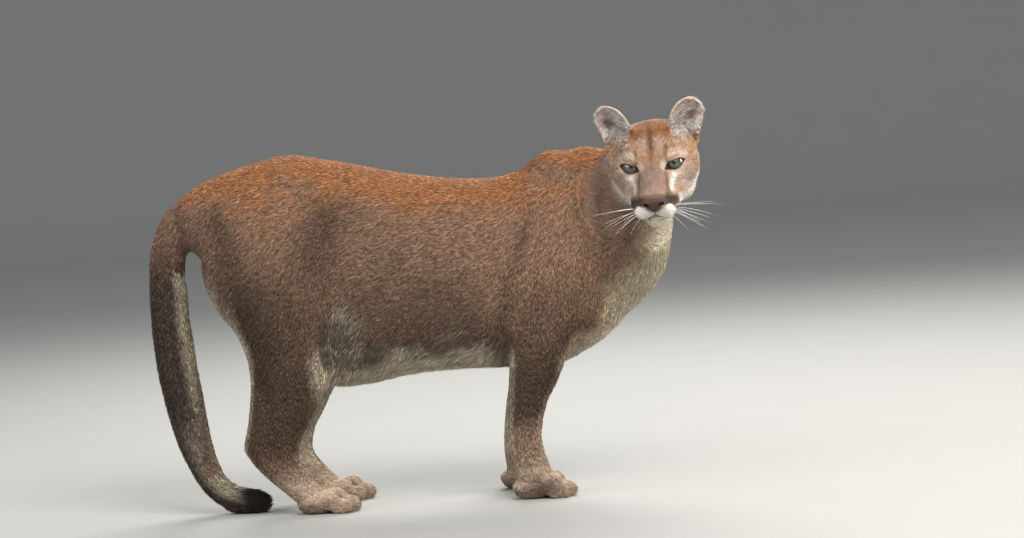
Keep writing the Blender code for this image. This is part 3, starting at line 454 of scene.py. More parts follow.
def lidded(h, side):
    """The points round an eye drawn out over the ball as lids, and those in the opening drawn in."""
    middle = eye_axes(side)[0]
    margin, ahead = eye_margin(h, side)
    at = h - middle
    reach = np.linalg.norm(at, axis=1)
    near = (ahead > 0.004) & (reach < EYE_RADIUS + LID_RANGE)
    fold = np.exp(-(((margin + LID_FOLD_RISE) / LID_FOLD_WIDTH) ** 2)) * LID_FOLD_DEPTH
    lid = EYE_RADIUS + LID_CLEARANCE + LID_THICKENING * fade(-margin, 0.001, 0.004)
    outside = near & (margin <= 0)
    out = np.where(outside, np.maximum(reach - fold, lid), reach)
    inside = near & (margin > 0)
    sunk = EYE_RADIUS + LID_CLEARANCE - SOCKET_DEPTH * fade(margin, 0.0, 0.0014)
    out = np.where(inside, sunk, out)
    return middle + at * (out / np.maximum(reach, 1e-9))[:, None]


# Markings, with painted shade and light


# Lines in body coordinates along which the coat darkens or pales, the same on both sides but for the
# throat's. The hip hollow and the neck and shoulder folds carry painted shade; the thigh band is darker fur
# with painted shade on it.
THIGH_BAND = (
    (-0.575, 0.1, 0.6),
    (-0.554, 0.11, 0.54),
    (-0.531, 0.12, 0.441),
    (-0.495, 0.12, 0.34),
    (-0.505, 0.11, 0.21),
)
HIP_HOLLOW = ((-0.34, 0.1, 0.6), (-0.375, 0.1, 0.56), (-0.385, 0.11, 0.5))
THROAT = (
    (0.33, -0.215, 0.56),
    (0.335, -0.13, 0.52),
    (0.318, -0.08, 0.465),
    (0.275, -0.04, 0.405),
    (0.22, -0.01, 0.35),
    (0.15, 0.0, 0.29),
)
NECK_FOLDS = (
    ((0.15, 0.09, 0.66), (0.15, 0.09, 0.56), (0.165, 0.09, 0.47)),
    ((0.185, 0.1, 0.65), (0.19, 0.1, 0.57), (0.2, 0.1, 0.5)),
)
SHOULDER_FOLD = ((0.06, 0.1, 0.6), (0.03, 0.11, 0.51), (-0.008, 0.12, 0.42), (-0.02, 0.12, 0.34))


def near_line(twin, line, reach):
    """1 on the line, fading to 0 over about the reach."""
    return np.exp(-((line_distance(twin, line) / reach) ** 2))


# Each paw's heel and middle, how far the creases between its toes lie from the middle, their reach and depth
PAW_PLACES = ((-0.006, -0.079), (-0.04, 0.079), (-0.438, -0.085), (-0.427, 0.085))
TOE_GAPS = (-0.0203, 0.0, 0.0203)
TOE_CREASE_REACH = 0.0042
TOE_CREASE_DEPTH = 0.0034


def between_toes(b):
    """The creases between the toes: 1 in the middle of each, fading to its sides and behind the knuckles."""
    crease = np.zeros(len(b))
    for heel, middle in PAW_PLACES:
        ahead = b[:, 0] - heel
        toes = fade(ahead, 0.05, 0.07) * (ahead < 0.13) * on_paws(b) * fade(b[:, 2], 0.003, 0.01)
        for gap in TOE_GAPS:
            across = (b[:, 1] - middle - gap) / TOE_CREASE_REACH
            crease = np.maximum(crease, np.exp(-(across**2)) * toes)
    return crease


def laid(coat, tone, marks):
    """The coat after each mark: a tone's name and its share at each point."""
    for name, share in marks:
        coat = mixed(coat, tone[name], share)
    return coat


def marked(b, h, n, colours):
    """The coat's colour at each point, as linear red, green and blue, with painted shade in hollows, folds
    and toe creases and painted light on rim edges and the tail. Places are in metres.
    """
    tone = {key: np.array(getattr(colours, key)) for key in COLOURS}
    twin = folded(b)
    x, z = b[:, 0], b[:, 2]
    wave = ripple(b, 0.11, 3) * 0.05 + ripple(b, 0.035, 4) * 0.04
    low = z + wave * 0.4
    legs, tail, head, paws = on_legs(b), on_tail(b), on_head(h), on_paws(b)
    inner = fade(-n[:, 1] * np.sign(b[:, 1]), 0.1, 0.5) * (1 - fade(z, 0.34, 0.44))
    shin = np.where(x > -0.2, 0.15, 0.105)
    # Edges facing backwards and the fronts of the legs, pale partly as real paler fur and partly as painted
    # rim light
    edge = fade(-n[:, 0], 0.45, 0.85) * (1 - fade(z, 0.42, 0.52)) * fade(-x + 0.25, 0.0, 0.05)
    edge = edge * (1 - 0.45 * legs) + legs * fade(n[:, 0], 0.5, 1.0) * 0.35
    between = fade(x, -0.42, -0.37) * (1 - fade(x, -0.06, -0.01))
    under = (1 - fade(low, 0.305, 0.35)) * fade(z, 0.2, 0.25) * between
    fold = spot(b, (-0.335, 0.105, 0.345), (0.045, 0.06, 0.085), 1.6)
    away = line_distance(b, THROAT)
    away = away / np.interp(z, (0.3, 0.56), (0.11, 0.07)) + wave * 1.5
    # Low on the paws where the surface faces sideways or down: painted shade near the floor
    toes = paws * (1 - fade(n[:, 2], 0.0, 0.6)) * (1 - fade(z, 0.02, 0.045))
    # Where painted rim light falls on the tail
    front = fade(n[:, 0], 0.25, 0.8) * (z < 0.5) + (1 - fade(z, 0.12, 0.24)) * fade(n[:, 2], -0.4, 0.4)
    # The middle and lower flank and the thigh are darker than the upper flank partly as painted shade
    coat = laid(np.tile(tone["flank"], (len(b), 1)), tone, (
        ("side", fade(low + 0.09 * fade(x, -0.12, 0.0), 0.4, 0.56)),
        ("haunch", fade(-x, 0.36, 0.46) * (1 - fade(low, 0.3, 0.6)) * 0.8),
        # Darker fur in a band behind the thigh, partly painted shade
        ("shade", near_line(twin, THIGH_BAND, 0.036) * 0.6),
        # Painted shade in the hollow before the hip
        ("shade", near_line(twin, HIP_HOLLOW, 0.046) * 0.62),
        # Painted shade in the shoulder and neck folds
        ("shade", near_line(twin, SHOULDER_FOLD, 0.012) * 0.45),
        ("shade", near_line(twin, NECK_FOLDS[0], 0.01) * 0.5),
        ("shade", near_line(twin, NECK_FOLDS[1], 0.01) * 0.5),
        ("back", fade(n[:, 2] + wave, 0.18, 0.66) * fade(low, 0.52, 0.62) * (1 - head)),
        ("leg", legs * (1 - fade(0.27 - z, 0.08, 0.16))),
        ("shank", legs * (1 - fade(z - shin, -0.03, 0.03))),
        # Pale inner legs, and pale edges that are partly painted rim light
        ("pale", np.clip(inner * 0.85 + edge * 0.7, 0, 1) * (1 - tail) * (1 - paws)),
        ("grey", np.clip(under + fold, 0, 1)),
        ("pale", (1 - fade(z + wave * 0.3, 0.29, 0.325)) * under * 0.95),
        ("throat", (1 - fade(away, 0.75, 1.15)) * 0.95),
        ("pale", 1 - fade(away, 0.45, 0.85)),
        ("paw", paws),
        # Painted shade low on the toes
        ("shank", toes * 0.5),
        # Painted shadow on the near forepaw's outer toes
        ("dark", spot(b, (0.04, 0.116, 0.03), (0.05, 0.022, 0.026), 1.2) * 0.6),
        # Painted shade in the creases between the toes
        ("dark", between_toes(b) * 0.85),
        # The tail's tone is dark partly as painted shade
        ("tail", tail),
        # Painted light on the top of the tail
        ("side", tail * fade(low, 0.44, 0.58)),
        # Painted rim light along the front of the tail
        ("pale", tail * np.clip(front, 0, 1) * 0.6),
        ("tip", tail * fade(x + wave * 0.2, -0.6, -0.575) * (z < 0.09)),
    ))
    return np.clip(face_marked(coat, h, n, tone), 0.0, 1.0)


MOUSTACHE = (
    (0.072, 0.0245, -0.037),
    (0.061, 0.0373, -0.0425),
    (0.053, 0.044, -0.052),
    (0.057, 0.0435, -0.064),
)
TEAR_LINE = (
    (0.02, 0.025, -0.008),
    (0.0321, 0.0265, -0.0165),
    (0.0512, 0.029, -0.03),
    (0.06, 0.0275, -0.033),
    (0.069, 0.0255, -0.037),
)
CHEEK_EDGE = (
    (-0.0345, 0.079, -0.045),
    (-0.01, 0.067, -0.06),
    (0.0129, 0.0591, -0.061),
    (0.034, 0.0475, -0.06),
    (0.043, 0.045, -0.062),
)
# The face's markings in the order they are laid: tone, share, then a spot's middle, reach and sharpness, or a
# line's points and reach. All but the middle line are the same on both sides.
FACE_MARKS = (
    ("temple", 0.8, "spot", (-0.048, 0.08, 0.006), (0.04, 0.022, 0.026), 1.2),
    ("bridge", 0.9, "spot", (0.045, 0.0, -0.014), (0.05, 0.03, 0.04), 1.5),
    ("brow", 0.35, "spot", (-0.016, 0.017, 0.035), (0.03, 0.014, 0.022), 1.0),
    ("temple", 0.35, "line", ((-0.005, 0.03, 0.03), (-0.03, 0.033, 0.044)), 0.008),
    ("cheek", 0.95, "spot", (0.003, 0.062, -0.025), (0.04, 0.028, 0.026), 2.0),
    ("brow", 0.8, "line", ((-0.015, 0.065, 0.011), (-0.0065, 0.054, 0.0205), (0.001, 0.035, 0.0255)), 0.0062),
    ("white", 0.35, "line", ((-0.011, 0.059, 0.013), (-0.002, 0.043, 0.02), (0.004, 0.033, 0.019)), 0.0035),
    ("white", 0.85, "line", CHEEK_EDGE, 0.012),
    ("white", 0.88, "line", ((0.015, 0.04, -0.017), (0.03, 0.037, -0.025), (0.043, 0.035, -0.034)), 0.0068),
    ("white", 0.42, "spot", (0.0115, 0.022, 0.004), (0.014, 0.008, 0.011), 1.0),
    # Painted shade above the inner corners of the eyes
    ("dark", 0.6, "line", ((0.005, 0.029, 0.018), (-0.009, 0.0305, 0.033)), 0.0026),
    ("crown", 0.6, "line", ((0.006, 0.0, 0.015), (-0.0284, 0.0, 0.041), (-0.065, 0.0, 0.056)), 0.0075),
    ("dark", 0.75, "line", ((-0.01, 0.0, 0.029), (-0.0341, 0.0, 0.044), (-0.064, 0.0, 0.056)), 0.003),
    ("dark", 0.3, "line", ((0.022, 0.0, 0.003), (-0.01, 0.0, 0.029)), 0.0028),
    ("dark", 0.72, "line", TEAR_LINE, 0.0036),
    ("dark", 0.92, "line", MOUSTACHE, 0.0076),
    ("dark", 0.85, "spot", (0.068, 0.033, -0.048), (0.022, 0.016, 0.01), 2.0),
    ("white", 1.0, "spot", (0.07, 0.0245, -0.066), (0.03, 0.0165, 0.0195), 5.0),
    ("white", 1.0, "spot", (0.0765, 0.013, -0.0685), (0.025, 0.013, 0.0125), 5.0),
    ("chin", 1.0, "spot", (0.052, 0.0, -0.098), (0.04, 0.034, 0.02), 3.0),
    ("dark", 0.85, "line", ((0.077, 0.0235, -0.04), (0.077, 0.0175, -0.05), (0.0785, 0.005, -0.06)), 0.0038),
    ("dark", 0.9, "line", PHILTRUM, 0.0022),
    ("dark", 0.95, "line", MOUTH_LINE, 0.0032),
    ("dark", 0.9, "line", ((-0.003, 0.059, 0.003), (-0.011, 0.069, 0.006)), 0.002),
    ("dark", 0.9, "line", ((0.01, 0.027, -0.005), (0.019, 0.024, -0.008)), 0.0026),
)


def face_marked(coat, h, n, tone):
    """The coat's colour with the head's markings, painted shade at the inner brows and deep in the ears, and
    painted rim light on the ear edges.
    """
    front = on_head(h) * fade(h[:, 0] + np.minimum(h[:, 2] + 0.03, 0.0) * 1.2, -0.11, -0.07)
    twin = folded(h)
    wave = ripple(h, 0.014, 31) * 0.0012
    low = 1 - fade(h[:, 2] + h[:, 0] * 0.1, -0.08, -0.05)
    face = laid(np.tile(tone["face"], (len(h), 1)), tone, (
        ("crown", fade(h[:, 2] - h[:, 0] * 0.35 + wave, 0.042, 0.064)),
        ("throat", low * fade(h[:, 0], -0.07, -0.03) * 0.9),
    ))
    for name, share, kind, where, reach, *sharp in FACE_MARKS:
        if kind == "spot":
            mask = spot(h, where, reach, *sharp)
        else:
            mask = near_line(twin + wave[:, None], where, reach)
        face = mixed(face, tone[name], mask * share)
    for side, _ in SIDES:
        margin, ahead = eye_margin(h, side)
        ring = np.exp(-(((margin + 0.0045) / 0.0022) ** 2)) * (ahead > 0.0)
        lids = fade(margin, -0.003, -0.0012) * (ahead > 0.0)
        face = laid(face, tone, (("brow", ring * 0.4), ("dark", lids)))
    inside = in_ears(h, n)
    face = laid(face, tone, (
        ("ear", on_ears(h)),
        ("ear_inside", inside),
        # Darker deep in the ear, partly painted shade
        ("ear_deep", inside * spot(h, (-0.078, 0.076, 0.06), (0.04, 0.016, 0.019), 1.0) * 0.75),
        ("white", inside * spot(h, (-0.08, 0.064, 0.039), (0.04, 0.013, 0.016), 1.6) * 0.8),
        ("white", inside * spot(h, (-0.075, 0.093, 0.032), (0.04, 0.009, 0.022), 1.6) * 0.6),
        # Painted rim light on the edges of the ears
        ("brow", ear_rim(h) * 0.7),
    ))
    return mixed(coat, face, front)


NOSE_HEIGHTS = (-0.064, -0.058, -0.053, -0.047, -0.041, -0.035, -0.03, -0.027)
NOSE_HALF_WIDTHS = (0.001, 0.004, 0.0095, 0.0185, 0.024, 0.023, 0.019, 0.011)
NOSE_BACK = 0.058
NOSE_WING = ((0.076, 0.023, -0.037), (0.076, 0.0215, -0.046), (0.079, 0.009, -0.056))


def on_nose(h):
    """The bare leather of the nose."""
    y, z = np.abs(h[:, 1]), h[:, 2]
    half = np.interp(z, NOSE_HEIGHTS, NOSE_HALF_WIDTHS)
    near = (z > NOSE_HEIGHTS[0]) & (z < NOSE_HEIGHTS[-1]) & (h[:, 0] > NOSE_BACK)
    return fade(half - y, -0.0008, 0.0008) * near


def nose_marked(colour, h, colours):
    """The skin's colour with the leather of the nose, dark at its wings, in its nostrils and at its foot."""
    twin = folded(h)
    tone = {key: np.array(getattr(colours, key)) for key in ("nose", "bridge", "dark")}
    leather = laid(np.tile(tone["nose"], (len(h), 1)), tone, (
        ("bridge", fade(h[:, 2], -0.034, -0.026) * 0.3),
        ("dark", near_line(twin, NOSE_WING, 0.0046) * 0.85),
        ("dark", spot(h, NOSTRIL, (0.02, 0.008, 0.006), 2.0) * 0.9),
        ("dark", 1 - fade(h[:, 2], -0.06, -0.05)),
    ))
    return mixed(colour, leather, on_nose(h))


# Which way the hair lies: guide places with the direction there. Those off the middle are mirrored.
BODY_LIE = (
    ((0.08, 0.03, 0.7), (-1.0, 0.1, -0.05)),
    ((-0.2, 0.03, 0.65), (-1.0, 0.05, 0.0)),
    ((-0.45, 0.03, 0.71), (-1.0, 0.15, -0.1)),
    ((-0.6, 0.05, 0.66), (-0.8, 0.1, -0.6)),
    ((0.07, 0.12, 0.55), (-0.4, 0.0, -0.9)),
    ((0.12, 0.09, 0.62), (-0.65, 0.2, -0.65)),
    ((0.05, 0.13, 0.4), (-0.25, 0.0, -1.0)),
    ((-0.08, 0.13, 0.55), (-0.95, 0.0, -0.35)),
    ((-0.1, 0.13, 0.42), (-0.85, 0.0, -0.5)),
    ((-0.25, 0.12, 0.55), (-0.95, 0.0, -0.3)),
    ((-0.25, 0.12, 0.42), (-0.88, 0.0, -0.45)),
    ((-0.2, 0.1, 0.33), (-0.75, 0.0, -0.65)),
    ((-0.32, 0.09, 0.32), (-0.6, 0.0, -0.8)),
    ((-0.15, 0.03, 0.27), (-1.0, 0.1, -0.25)),
    ((-0.38, 0.12, 0.5), (-0.55, 0.0, -0.8)),
    ((-0.4, 0.12, 0.6), (-0.8, 0.0, -0.5)),
    ((-0.48, 0.13, 0.45), (-0.35, 0.0, -0.93)),
    ((-0.57, 0.1, 0.5), (-0.4, 0.0, -0.9)),
    ((-0.56, 0.08, 0.38), (-0.1, 0.0, -1.0)),
    ((-0.37, 0.1, 0.33), (-0.3, 0.0, -0.95)),
    ((-0.46, 0.085, 0.23), (-0.25, 0.0, -1.0)),
    ((-0.5, 0.085, 0.14), (0.0, 0.0, -1.0)),
    ((-0.46, 0.085, 0.08), (0.6, 0.0, -0.8)),
    ((-0.4, 0.085, 0.04), (1.0, 0.0, -0.3)),
    ((-0.36, 0.085, 0.02), (1.0, 0.0, -0.4)),
    ((0.04, 0.085, 0.28), (-0.15, 0.0, -1.0)),
    ((0.02, 0.085, 0.16), (0.0, 0.0, -1.0)),
    ((0.02, 0.085, 0.08), (0.4, 0.0, -0.9)),
    ((0.06, 0.085, 0.04), (1.0, 0.0, -0.4)),
    ((0.2, 0.03, 0.42), (-0.3, 0.25, -0.9)),
    ((0.12, 0.02, 0.3), (-0.8, 0.2, -0.6)),
    ((0.2, 0.08, 0.58), (-0.75, 0.3, -0.5)),
    ((0.2, -0.02, 0.66), (-0.85, 0.4, -0.2)),
)
MIDDLE_LIE = (
    ((0.3, -0.12, 0.72), (-0.45, 0.85, -0.25)),
    ((0.25, -0.15, 0.64), (-0.3, 0.85, -0.45)),
    ((0.35, -0.07, 0.64), (-0.55, 0.6, -0.6)),
    ((0.33, -0.12, 0.55), (-0.25, 0.35, -0.9)),
    ((0.29, -0.03, 0.5), (-0.3, 0.2, -0.95)),
    ((0.2, -0.11, 0.56), (-0.5, 0.35, -0.8)),
    ((-0.65, 0.0, 0.61), (-0.6, 0.0, -0.8)),
    ((-0.69, 0.0, 0.5), (-0.05, 0.0, -1.0)),
    ((-0.695, 0.0, 0.3), (0.05, 0.0, -1.0)),
    ((-0.665, 0.0, 0.14), (0.3, 0.0, -0.95)),
    ((-0.635, 0.0, 0.065), (0.7, 0.0, -0.7)),
    ((-0.59, -0.01, 0.035), (1.0, -0.1, -0.2)),
    ((-0.53, -0.02, 0.03), (1.0, -0.1, 0.0)),
)
HEAD_LIE = (
    ((0.07, 0.0, -0.02), (-1.0, 0.0, 0.45)),
    ((0.03, 0.0, 0.0), (-0.8, 0.0, 0.75)),
    ((0.0, 0.02, 0.035), (-0.8, 0.15, 0.6)),
    ((-0.06, 0.02, 0.06), (-1.0, 0.1, 0.05)),
    ((-0.11, 0.02, 0.05), (-1.0, 0.0, -0.3)),
    ((0.066, 0.024, -0.062), (-0.7, 0.7, -0.25)),
    ((0.05, 0.036, -0.045), (-0.9, 0.5, 0.0)),
    ((0.02, 0.03, -0.02), (-0.7, 0.5, -0.2)),
    ((0.01, 0.05, -0.04), (-0.85, 0.5, -0.25)),
    ((-0.03, 0.075, -0.03), (-0.9, 0.25, -0.4)),
    ((-0.02, 0.07, 0.02), (-0.9, 0.35, 0.2)),
    ((-0.07, 0.08, 0.0), (-1.0, 0.0, -0.25)),
    ((0.02, 0.03, -0.09), (-1.0, 0.2, -0.15)),
    ((0.06, 0.0, -0.095), (-0.6, 0.0, -0.8)),
    ((-0.05, 0.04, -0.09), (-1.0, 0.1, -0.1)),
    ((0.07, 0.006, -0.066), (-0.1, 0.6, -0.8)),
)


def guided(at, guides, mirrored):
    """Each point's direction as the mean of the guides', the nearer ones counting most."""
    total = np.zeros_like(at)
    for middle, direction in guides:
        for side in (1, -1) if mirrored and abs(middle[1]) > 1e-6 else (1,):
            mirror = np.array([1.0, side, 1.0])
            away = ((at - np.array(middle) * mirror) ** 2).sum(1)
            total += np.array(direction) * mirror / (away[:, None] + 1e-5) ** 2
    return total


def lie(points, normals):
    """The direction along the surface in which the hair lies."""
    b, h = to_body(points), to_head(points)
    body = unit(guided(b, BODY_LIE, True) + guided(b, MIDDLE_LIE, False))
    head = unit(guided(h, HEAD_LIE, True))
    for side, _ in SIDES:
        foot, forward, across, up = ear_axes(side)
        near = on_ears(h) * (h[:, 1] * side > 0)
        head = unit(mixed(head, np.tile(up, (len(h), 1)), near))
        inside = in_ears(h, normals) * (h[:, 1] * side > 0)
        sideways = np.clip(((h - foot) @ across) / EAR_HALF_WIDTH, -1, 1)[:, None]
        head = unit(mixed(head, unit(across * (0.5 - sideways) + up * 0.9), inside))
    share = fade(h[:, 0], -0.15, -0.09) * (np.linalg.norm(h, axis=1) < 0.2)
    flow = mixed(body, head @ HEAD_AXES.T, share)
    flow -= normals * (flow * normals).sum(1)[:, None]
    return unit(flow)


# Skin


def gathered_flesh():
    """One object with merged, slightly swollen copies of the solids, so that the gaps between them close."""
    whole = bmesh.new()
    for name in (*FLESH, "eye_left", "eye_right"):
        bm = bmesh.new()
        bm.from_mesh(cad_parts[name].data)
        bmesh.ops.remove_doubles(bm, verts=bm.verts, dist=MERGE)
        bm.normal_update()
        pushed = [(v, v.co + v.normal * SWELL) for v in bm.verts]
        for vert, place in pushed:
            vert.co = place
        part = bpy.data.meshes.new("part")
        bm.to_mesh(part)
        bm.free()
        whole.from_mesh(part)
        bpy.data.meshes.remove(part)
    return from_bmesh("skin", whole)


def fused_skin(settings):
    """The flesh as one smooth surface that lies inside the solids by the coat's depth."""
    skin = gathered_flesh()
    remesh = skin.modifiers.new("fuse", "REMESH")
    remesh.mode = "VOXEL"
    remesh.voxel_size = settings.cell
    settled(skin)
    points = points_of(skin.data)
    soft = softness(to_body(points), to_head(points))
    weighted(skin, "SMOOTH", soft, iterations=settings.rounds, factor=0.5)
    points, normals = points_of(skin.data), normals_of(skin.data)
    b, h = to_body(points), to_head(points)
    points = points - normals * (coat_depth(b, h, normals) + SWELL * (1 - 0.4 * softness(b, h)))[:, None]
    put_points(skin.data, points)
    return skin


def thinned_skin(skin, settings):
    """The skin with fewer faces on the body and all of them on the head."""
    points = points_of(skin.data)
    thin = np.where(on_head(to_head(points)) > 0.5, 0.0, 1.0 - 0.5 * on_paws(to_body(points)))
    faces = sum(len(face.vertices) - 2 for face in skin.data.polygons)
    weighted(skin, "DECIMATE", thin, ratio=settings.triangles / faces, vertex_group_factor=0.0)
    return skin


def refined(skin, inside):
    """The skin with the faces cut in four where inside says so at their middles."""
    bm = bmesh.new()
    bm.from_mesh(skin.data)
    middles = np.array([f.calc_center_median() for f in bm.faces])
    chosen = inside(to_head(middles))
    edges = {edge for face, take in zip(bm.faces, chosen) if take for edge in face.edges}
    bmesh.ops.subdivide_edges(bm, edges=list(edges), cuts=1, use_grid_fill=True)
    bm.to_mesh(skin.data)
    bm.free()
    return skin


def finest(h):
    """The places round the eyes and the nose where the skin has its smallest faces."""
    near = np.zeros(len(h), bool)
    for side, _ in SIDES:
        margin, ahead = eye_margin(h, side)
        near |= (np.abs(margin) < 0.0045) & (ahead > 0.0)
    nose = np.linalg.norm((h - (0.082, 0.0, -0.048)) / (0.02, 0.03, 0.022), axis=1) < 1
    return near | nose


def smoothed_face(skin, rounds):
    """Evens out the face's skin after it is refined."""
    weighted(skin, "SMOOTH", on_face(to_head(points_of(skin.data))), iterations=rounds, factor=0.5)


def paint(mesh, colours):
    layer = mesh.color_attributes.new("coat", "FLOAT_COLOR", "POINT")
    rgba = np.hstack([colours, np.ones((len(colours), 1))])
    layer.data.foreach_set("color", rgba.astype(np.float32).ravel())


def unwrapped(skin):
    """Gives the skin its OFBake map, an unwrap of its own shape."""
    bpy.ops.object.select_all(action="DESELECT")
    skin.select_set(True)
    bpy.context.view_layer.objects.active = skin
    skin.data.uv_layers.new(name="OFBake")
    bpy.ops.object.mode_set(mode="EDIT")
    bpy.ops.mesh.select_all(action="SELECT")
    bpy.ops.uv.smart_project(angle_limit=1.15, island_margin=0.002, scale_to_bounds=True)
    bpy.ops.object.mode_set(mode="OBJECT")


def hollows(mesh, points, normals):
    """How hollow the surface is at each vertex, as the share of the way its neighbours lie outside it."""
    ends = numbers(mesh.edges, "vertices", 2, np.int32).astype(int)
    ends = np.vstack([ends, ends[:, ::-1]])
    reach = points[ends[:, 1]] - points[ends[:, 0]]
    rise = (reach * normals[ends[:, 0]]).sum(1) / np.maximum((reach**2).sum(1), 1e-12)
    count = np.bincount(ends[:, 0], minlength=len(points))
    bend = np.bincount(ends[:, 0], rise, len(points)) / np.maximum(count, 1)
    for _ in range(2):
        bend = np.bincount(ends[:, 0], bend[ends[:, 1]], len(points)) / np.maximum(count, 1)
    return bend


# How strongly the surface bends in, as rise by the square of reach, where painted shade in the hollows starts
# and where it is darkest
HOLLOW_SHADE_BEND = (6.0, 45.0)


def make_skin(settings, colours):
    """The skin, painted with the animal's markings, with painted shade in its hollows, folds and toe creases
    and painted rim light on some edges.
    """
    skin = thinned_skin(fused_skin(settings), settings)
    refined(skin, lambda h: on_face(h) > 0.5)
    smoothed_face(skin, 3)
    refined(skin, finest)
    smoothed_face(skin, 2)
    shape_face(skin.data)
    mesh = skin.data
    mesh.name = "skin"
    points, normals = points_of(mesh), normals_of(mesh)
    put_points(mesh, points - normals * (between_toes(to_body(points)) * TOE_CREASE_DEPTH)[:, None])
    points, normals = points_of(mesh), normals_of(mesh)
    b, h = to_body(points), to_head(points)
    # Painted shade: the coat darkens in the hollows of the trunk, legs and paws, where shade falls
    crease = fade(hollows(mesh, points, normals), *HOLLOW_SHADE_BEND) * (1 - on_head(h)) * settings.hollow_shade
    colour = marked(b, h, normals, colours) * (1 - crease)[:, None]
    paint(mesh, nose_marked(colour, h, colours))
    mesh.shade_smooth()
    return skin


# Tufts


def strewn(mesh, density, count, rng):
    """Roots on the mesh, more where the density is higher: places, normals, OFBake places and colours."""
    mesh.calc_loop_triangles()
    corners = numbers(mesh.loop_triangles, "vertices", 3, np.int32).astype(int)
    loops = numbers(mesh.loop_triangles, "loops", 3, np.int32).astype(int)
    points, normals = points_of(mesh), normals_of(mesh)
    a, b, c = (points[corners[:, k]] for k in range(3))
    area = np.linalg.norm(np.cross(b - a, c - a), axis=1) / 2
    middles = (a + b + c) / 3
    weight = area * density(middles, unit(normals[corners].mean(1)))
    order = np.lexsort(np.floor(middles / 0.03).astype(int).T)
    total = np.cumsum(weight[order])
    at = (np.arange(count) + rng.random(count)) / count * total[-1]
    face = order[np.minimum(np.searchsorted(total, at), len(order) - 1)]
    u, v = np.sqrt(rng.random(count)), rng.random(count)
    shares = np.stack([1 - u, u * (1 - v), u * v], 1)[:, :, None]
    uv = numbers(mesh.uv_layers["OFBake"].uv, "vector", 2)
    painted = numbers(mesh.color_attributes["coat"].data, "color", 4)[:, :3]
    return (
        (points[corners[face]] * shares).sum(1),
        unit((normals[corners[face]] * shares).sum(1)),
        (uv[loops[face]] * shares).sum(1),
        (painted[corners[face]] * shares).sum(1),
    )


# Each kind's faces, its points' places on the map's patch, and its points' shades from root to tip: darker at
# the root as painted shade within the coat, lighter at the tip as painted light
LOCK_FACES = ((0, 2, 1), (0, 1, 4, 3), (1, 2, 5, 4), (2, 0, 3, 5), (3, 4, 6), (4, 5, 6), (5, 3, 6))
LOCK_PATCH = ((0, 0), (1, 0), (0.5, 0.15), (0.1, 0.5), (0.9, 0.5), (0.5, 0.6), (0.5, 1))
LOCK_SHADE = (0.7, 0.7, 0.82, 0.95, 0.95, 1.06, 1.15)
SPIKE_FACES = ((0, 2, 1), (0, 1, 3), (1, 2, 3), (2, 0, 3))
SPIKE_PATCH = ((0, 0), (1, 0), (0.5, 0.3), (0.5, 1))
SPIKE_SHADE = (0.86, 0.86, 0.96, 1.08)
PATCH_SIZE = 0.003
FLOOR_GAP = 0.0003
ROOT_DEPTH = 0.0005


def lock_points(roots, normals, along, side, long, width, rise):
    """Seven points for each lock, which rises from its root, bends over and runs out to a point."""
    half, tall = width / 2, width * 0.45
    base = roots - normals * ROOT_DEPTH
    mid = roots + along * long * 0.5 + normals * rise * 0.62
    tip = roots + along * long + normals * rise * 0.95
    corners = [base - side * half, base + side * half, base + normals * tall]
    corners += [mid - side * half * 0.8, mid + side * half * 0.8, mid + normals * tall * 0.8, tip]
    return np.stack(corners, 1)


def spike_points(roots, normals, along, side, long, width, rise):
    """Four points for each straight spike of short, flat fur."""
    base = roots - normals * ROOT_DEPTH
    tip = roots + along * long + normals * rise
    ridge = base + normals * (ROOT_DEPTH + width * 0.35)
    corners = [base - side * width / 2, base + side * width / 2, ridge, tip]
    return np.stack(corners, 1)


def tuft_mesh(name, points, faces, patch, shade, colour, patches):
    """A mesh of closed tufts of one kind, darker at the root as painted shade and lighter at the tip as
    painted light.
    """
    count, each = points.shape[:2]
    colours = np.clip(colour[:, None, :] * np.array(shade)[None, :, None], 0, 1)
    sizes = np.array([len(face) for face in faces])
    corners = np.concatenate([np.array(face) for face in faces])
    mesh = bpy.data.meshes.new(name)
    mesh.vertices.add(count * each)
    mesh.vertices.foreach_set("co", points.astype(np.float32).ravel())
    mesh.loops.add(count * len(corners))
    ends = corners + each * np.arange(count)[:, None]
    mesh.loops.foreach_set("vertex_index", ends.astype(np.int32).ravel())
    mesh.polygons.add(count * len(sizes))
    starts = np.concatenate([[0], np.cumsum(sizes)[:-1]]) + len(corners) * np.arange(count)[:, None]
    mesh.polygons.foreach_set("loop_start", starts.astype(np.int32).ravel())
    mesh.update(calc_edges=True)
    mesh.shade_smooth()
    paint(mesh, colours.reshape(-1, 3))
    layer = mesh.uv_layers.new(name="OFBake")
    place = patches[:, None, :] + (np.array(patch)[corners] - 0.5) * PATCH_SIZE
    layer.uv.foreach_set("vector", place.astype(np.float32).ravel())
    return mesh


def bare(h):
    """Where no tufts grow: the eyes, the nose leather and the line of the mouth."""
    none = on_nose(h) > 0.3
    for side, _ in SIDES:
        margin, ahead = eye_margin(h, side)
        none |= (margin > -0.0026) & (ahead > 0.004)
    twin = folded(h)
    return none | (line_distance(twin, MOUTH_LINE) < 0.0016)


def long_haired(b, h, n):
    """Where the hair is long enough to hang as locks."""
    fringe = on_belly(b, n) * fade(-n[:, 2], 0.0, 0.5)
    fold = spot(b, (-0.335, 0.105, 0.345), (0.05, 0.06, 0.09), 1.5)
    throat = (1 - fade(line_distance(b, THROAT), 0.03, 0.08)) * 0.5 * (1 - on_head(h))
    cheek = spot(h, (-0.035, 0.07, -0.06), (0.05, 0.035, 0.035)) * 0.3
    return np.clip(fringe + fold + throat + cheek + in_ears(h, n) * 0.8, 0.0, 1.0)


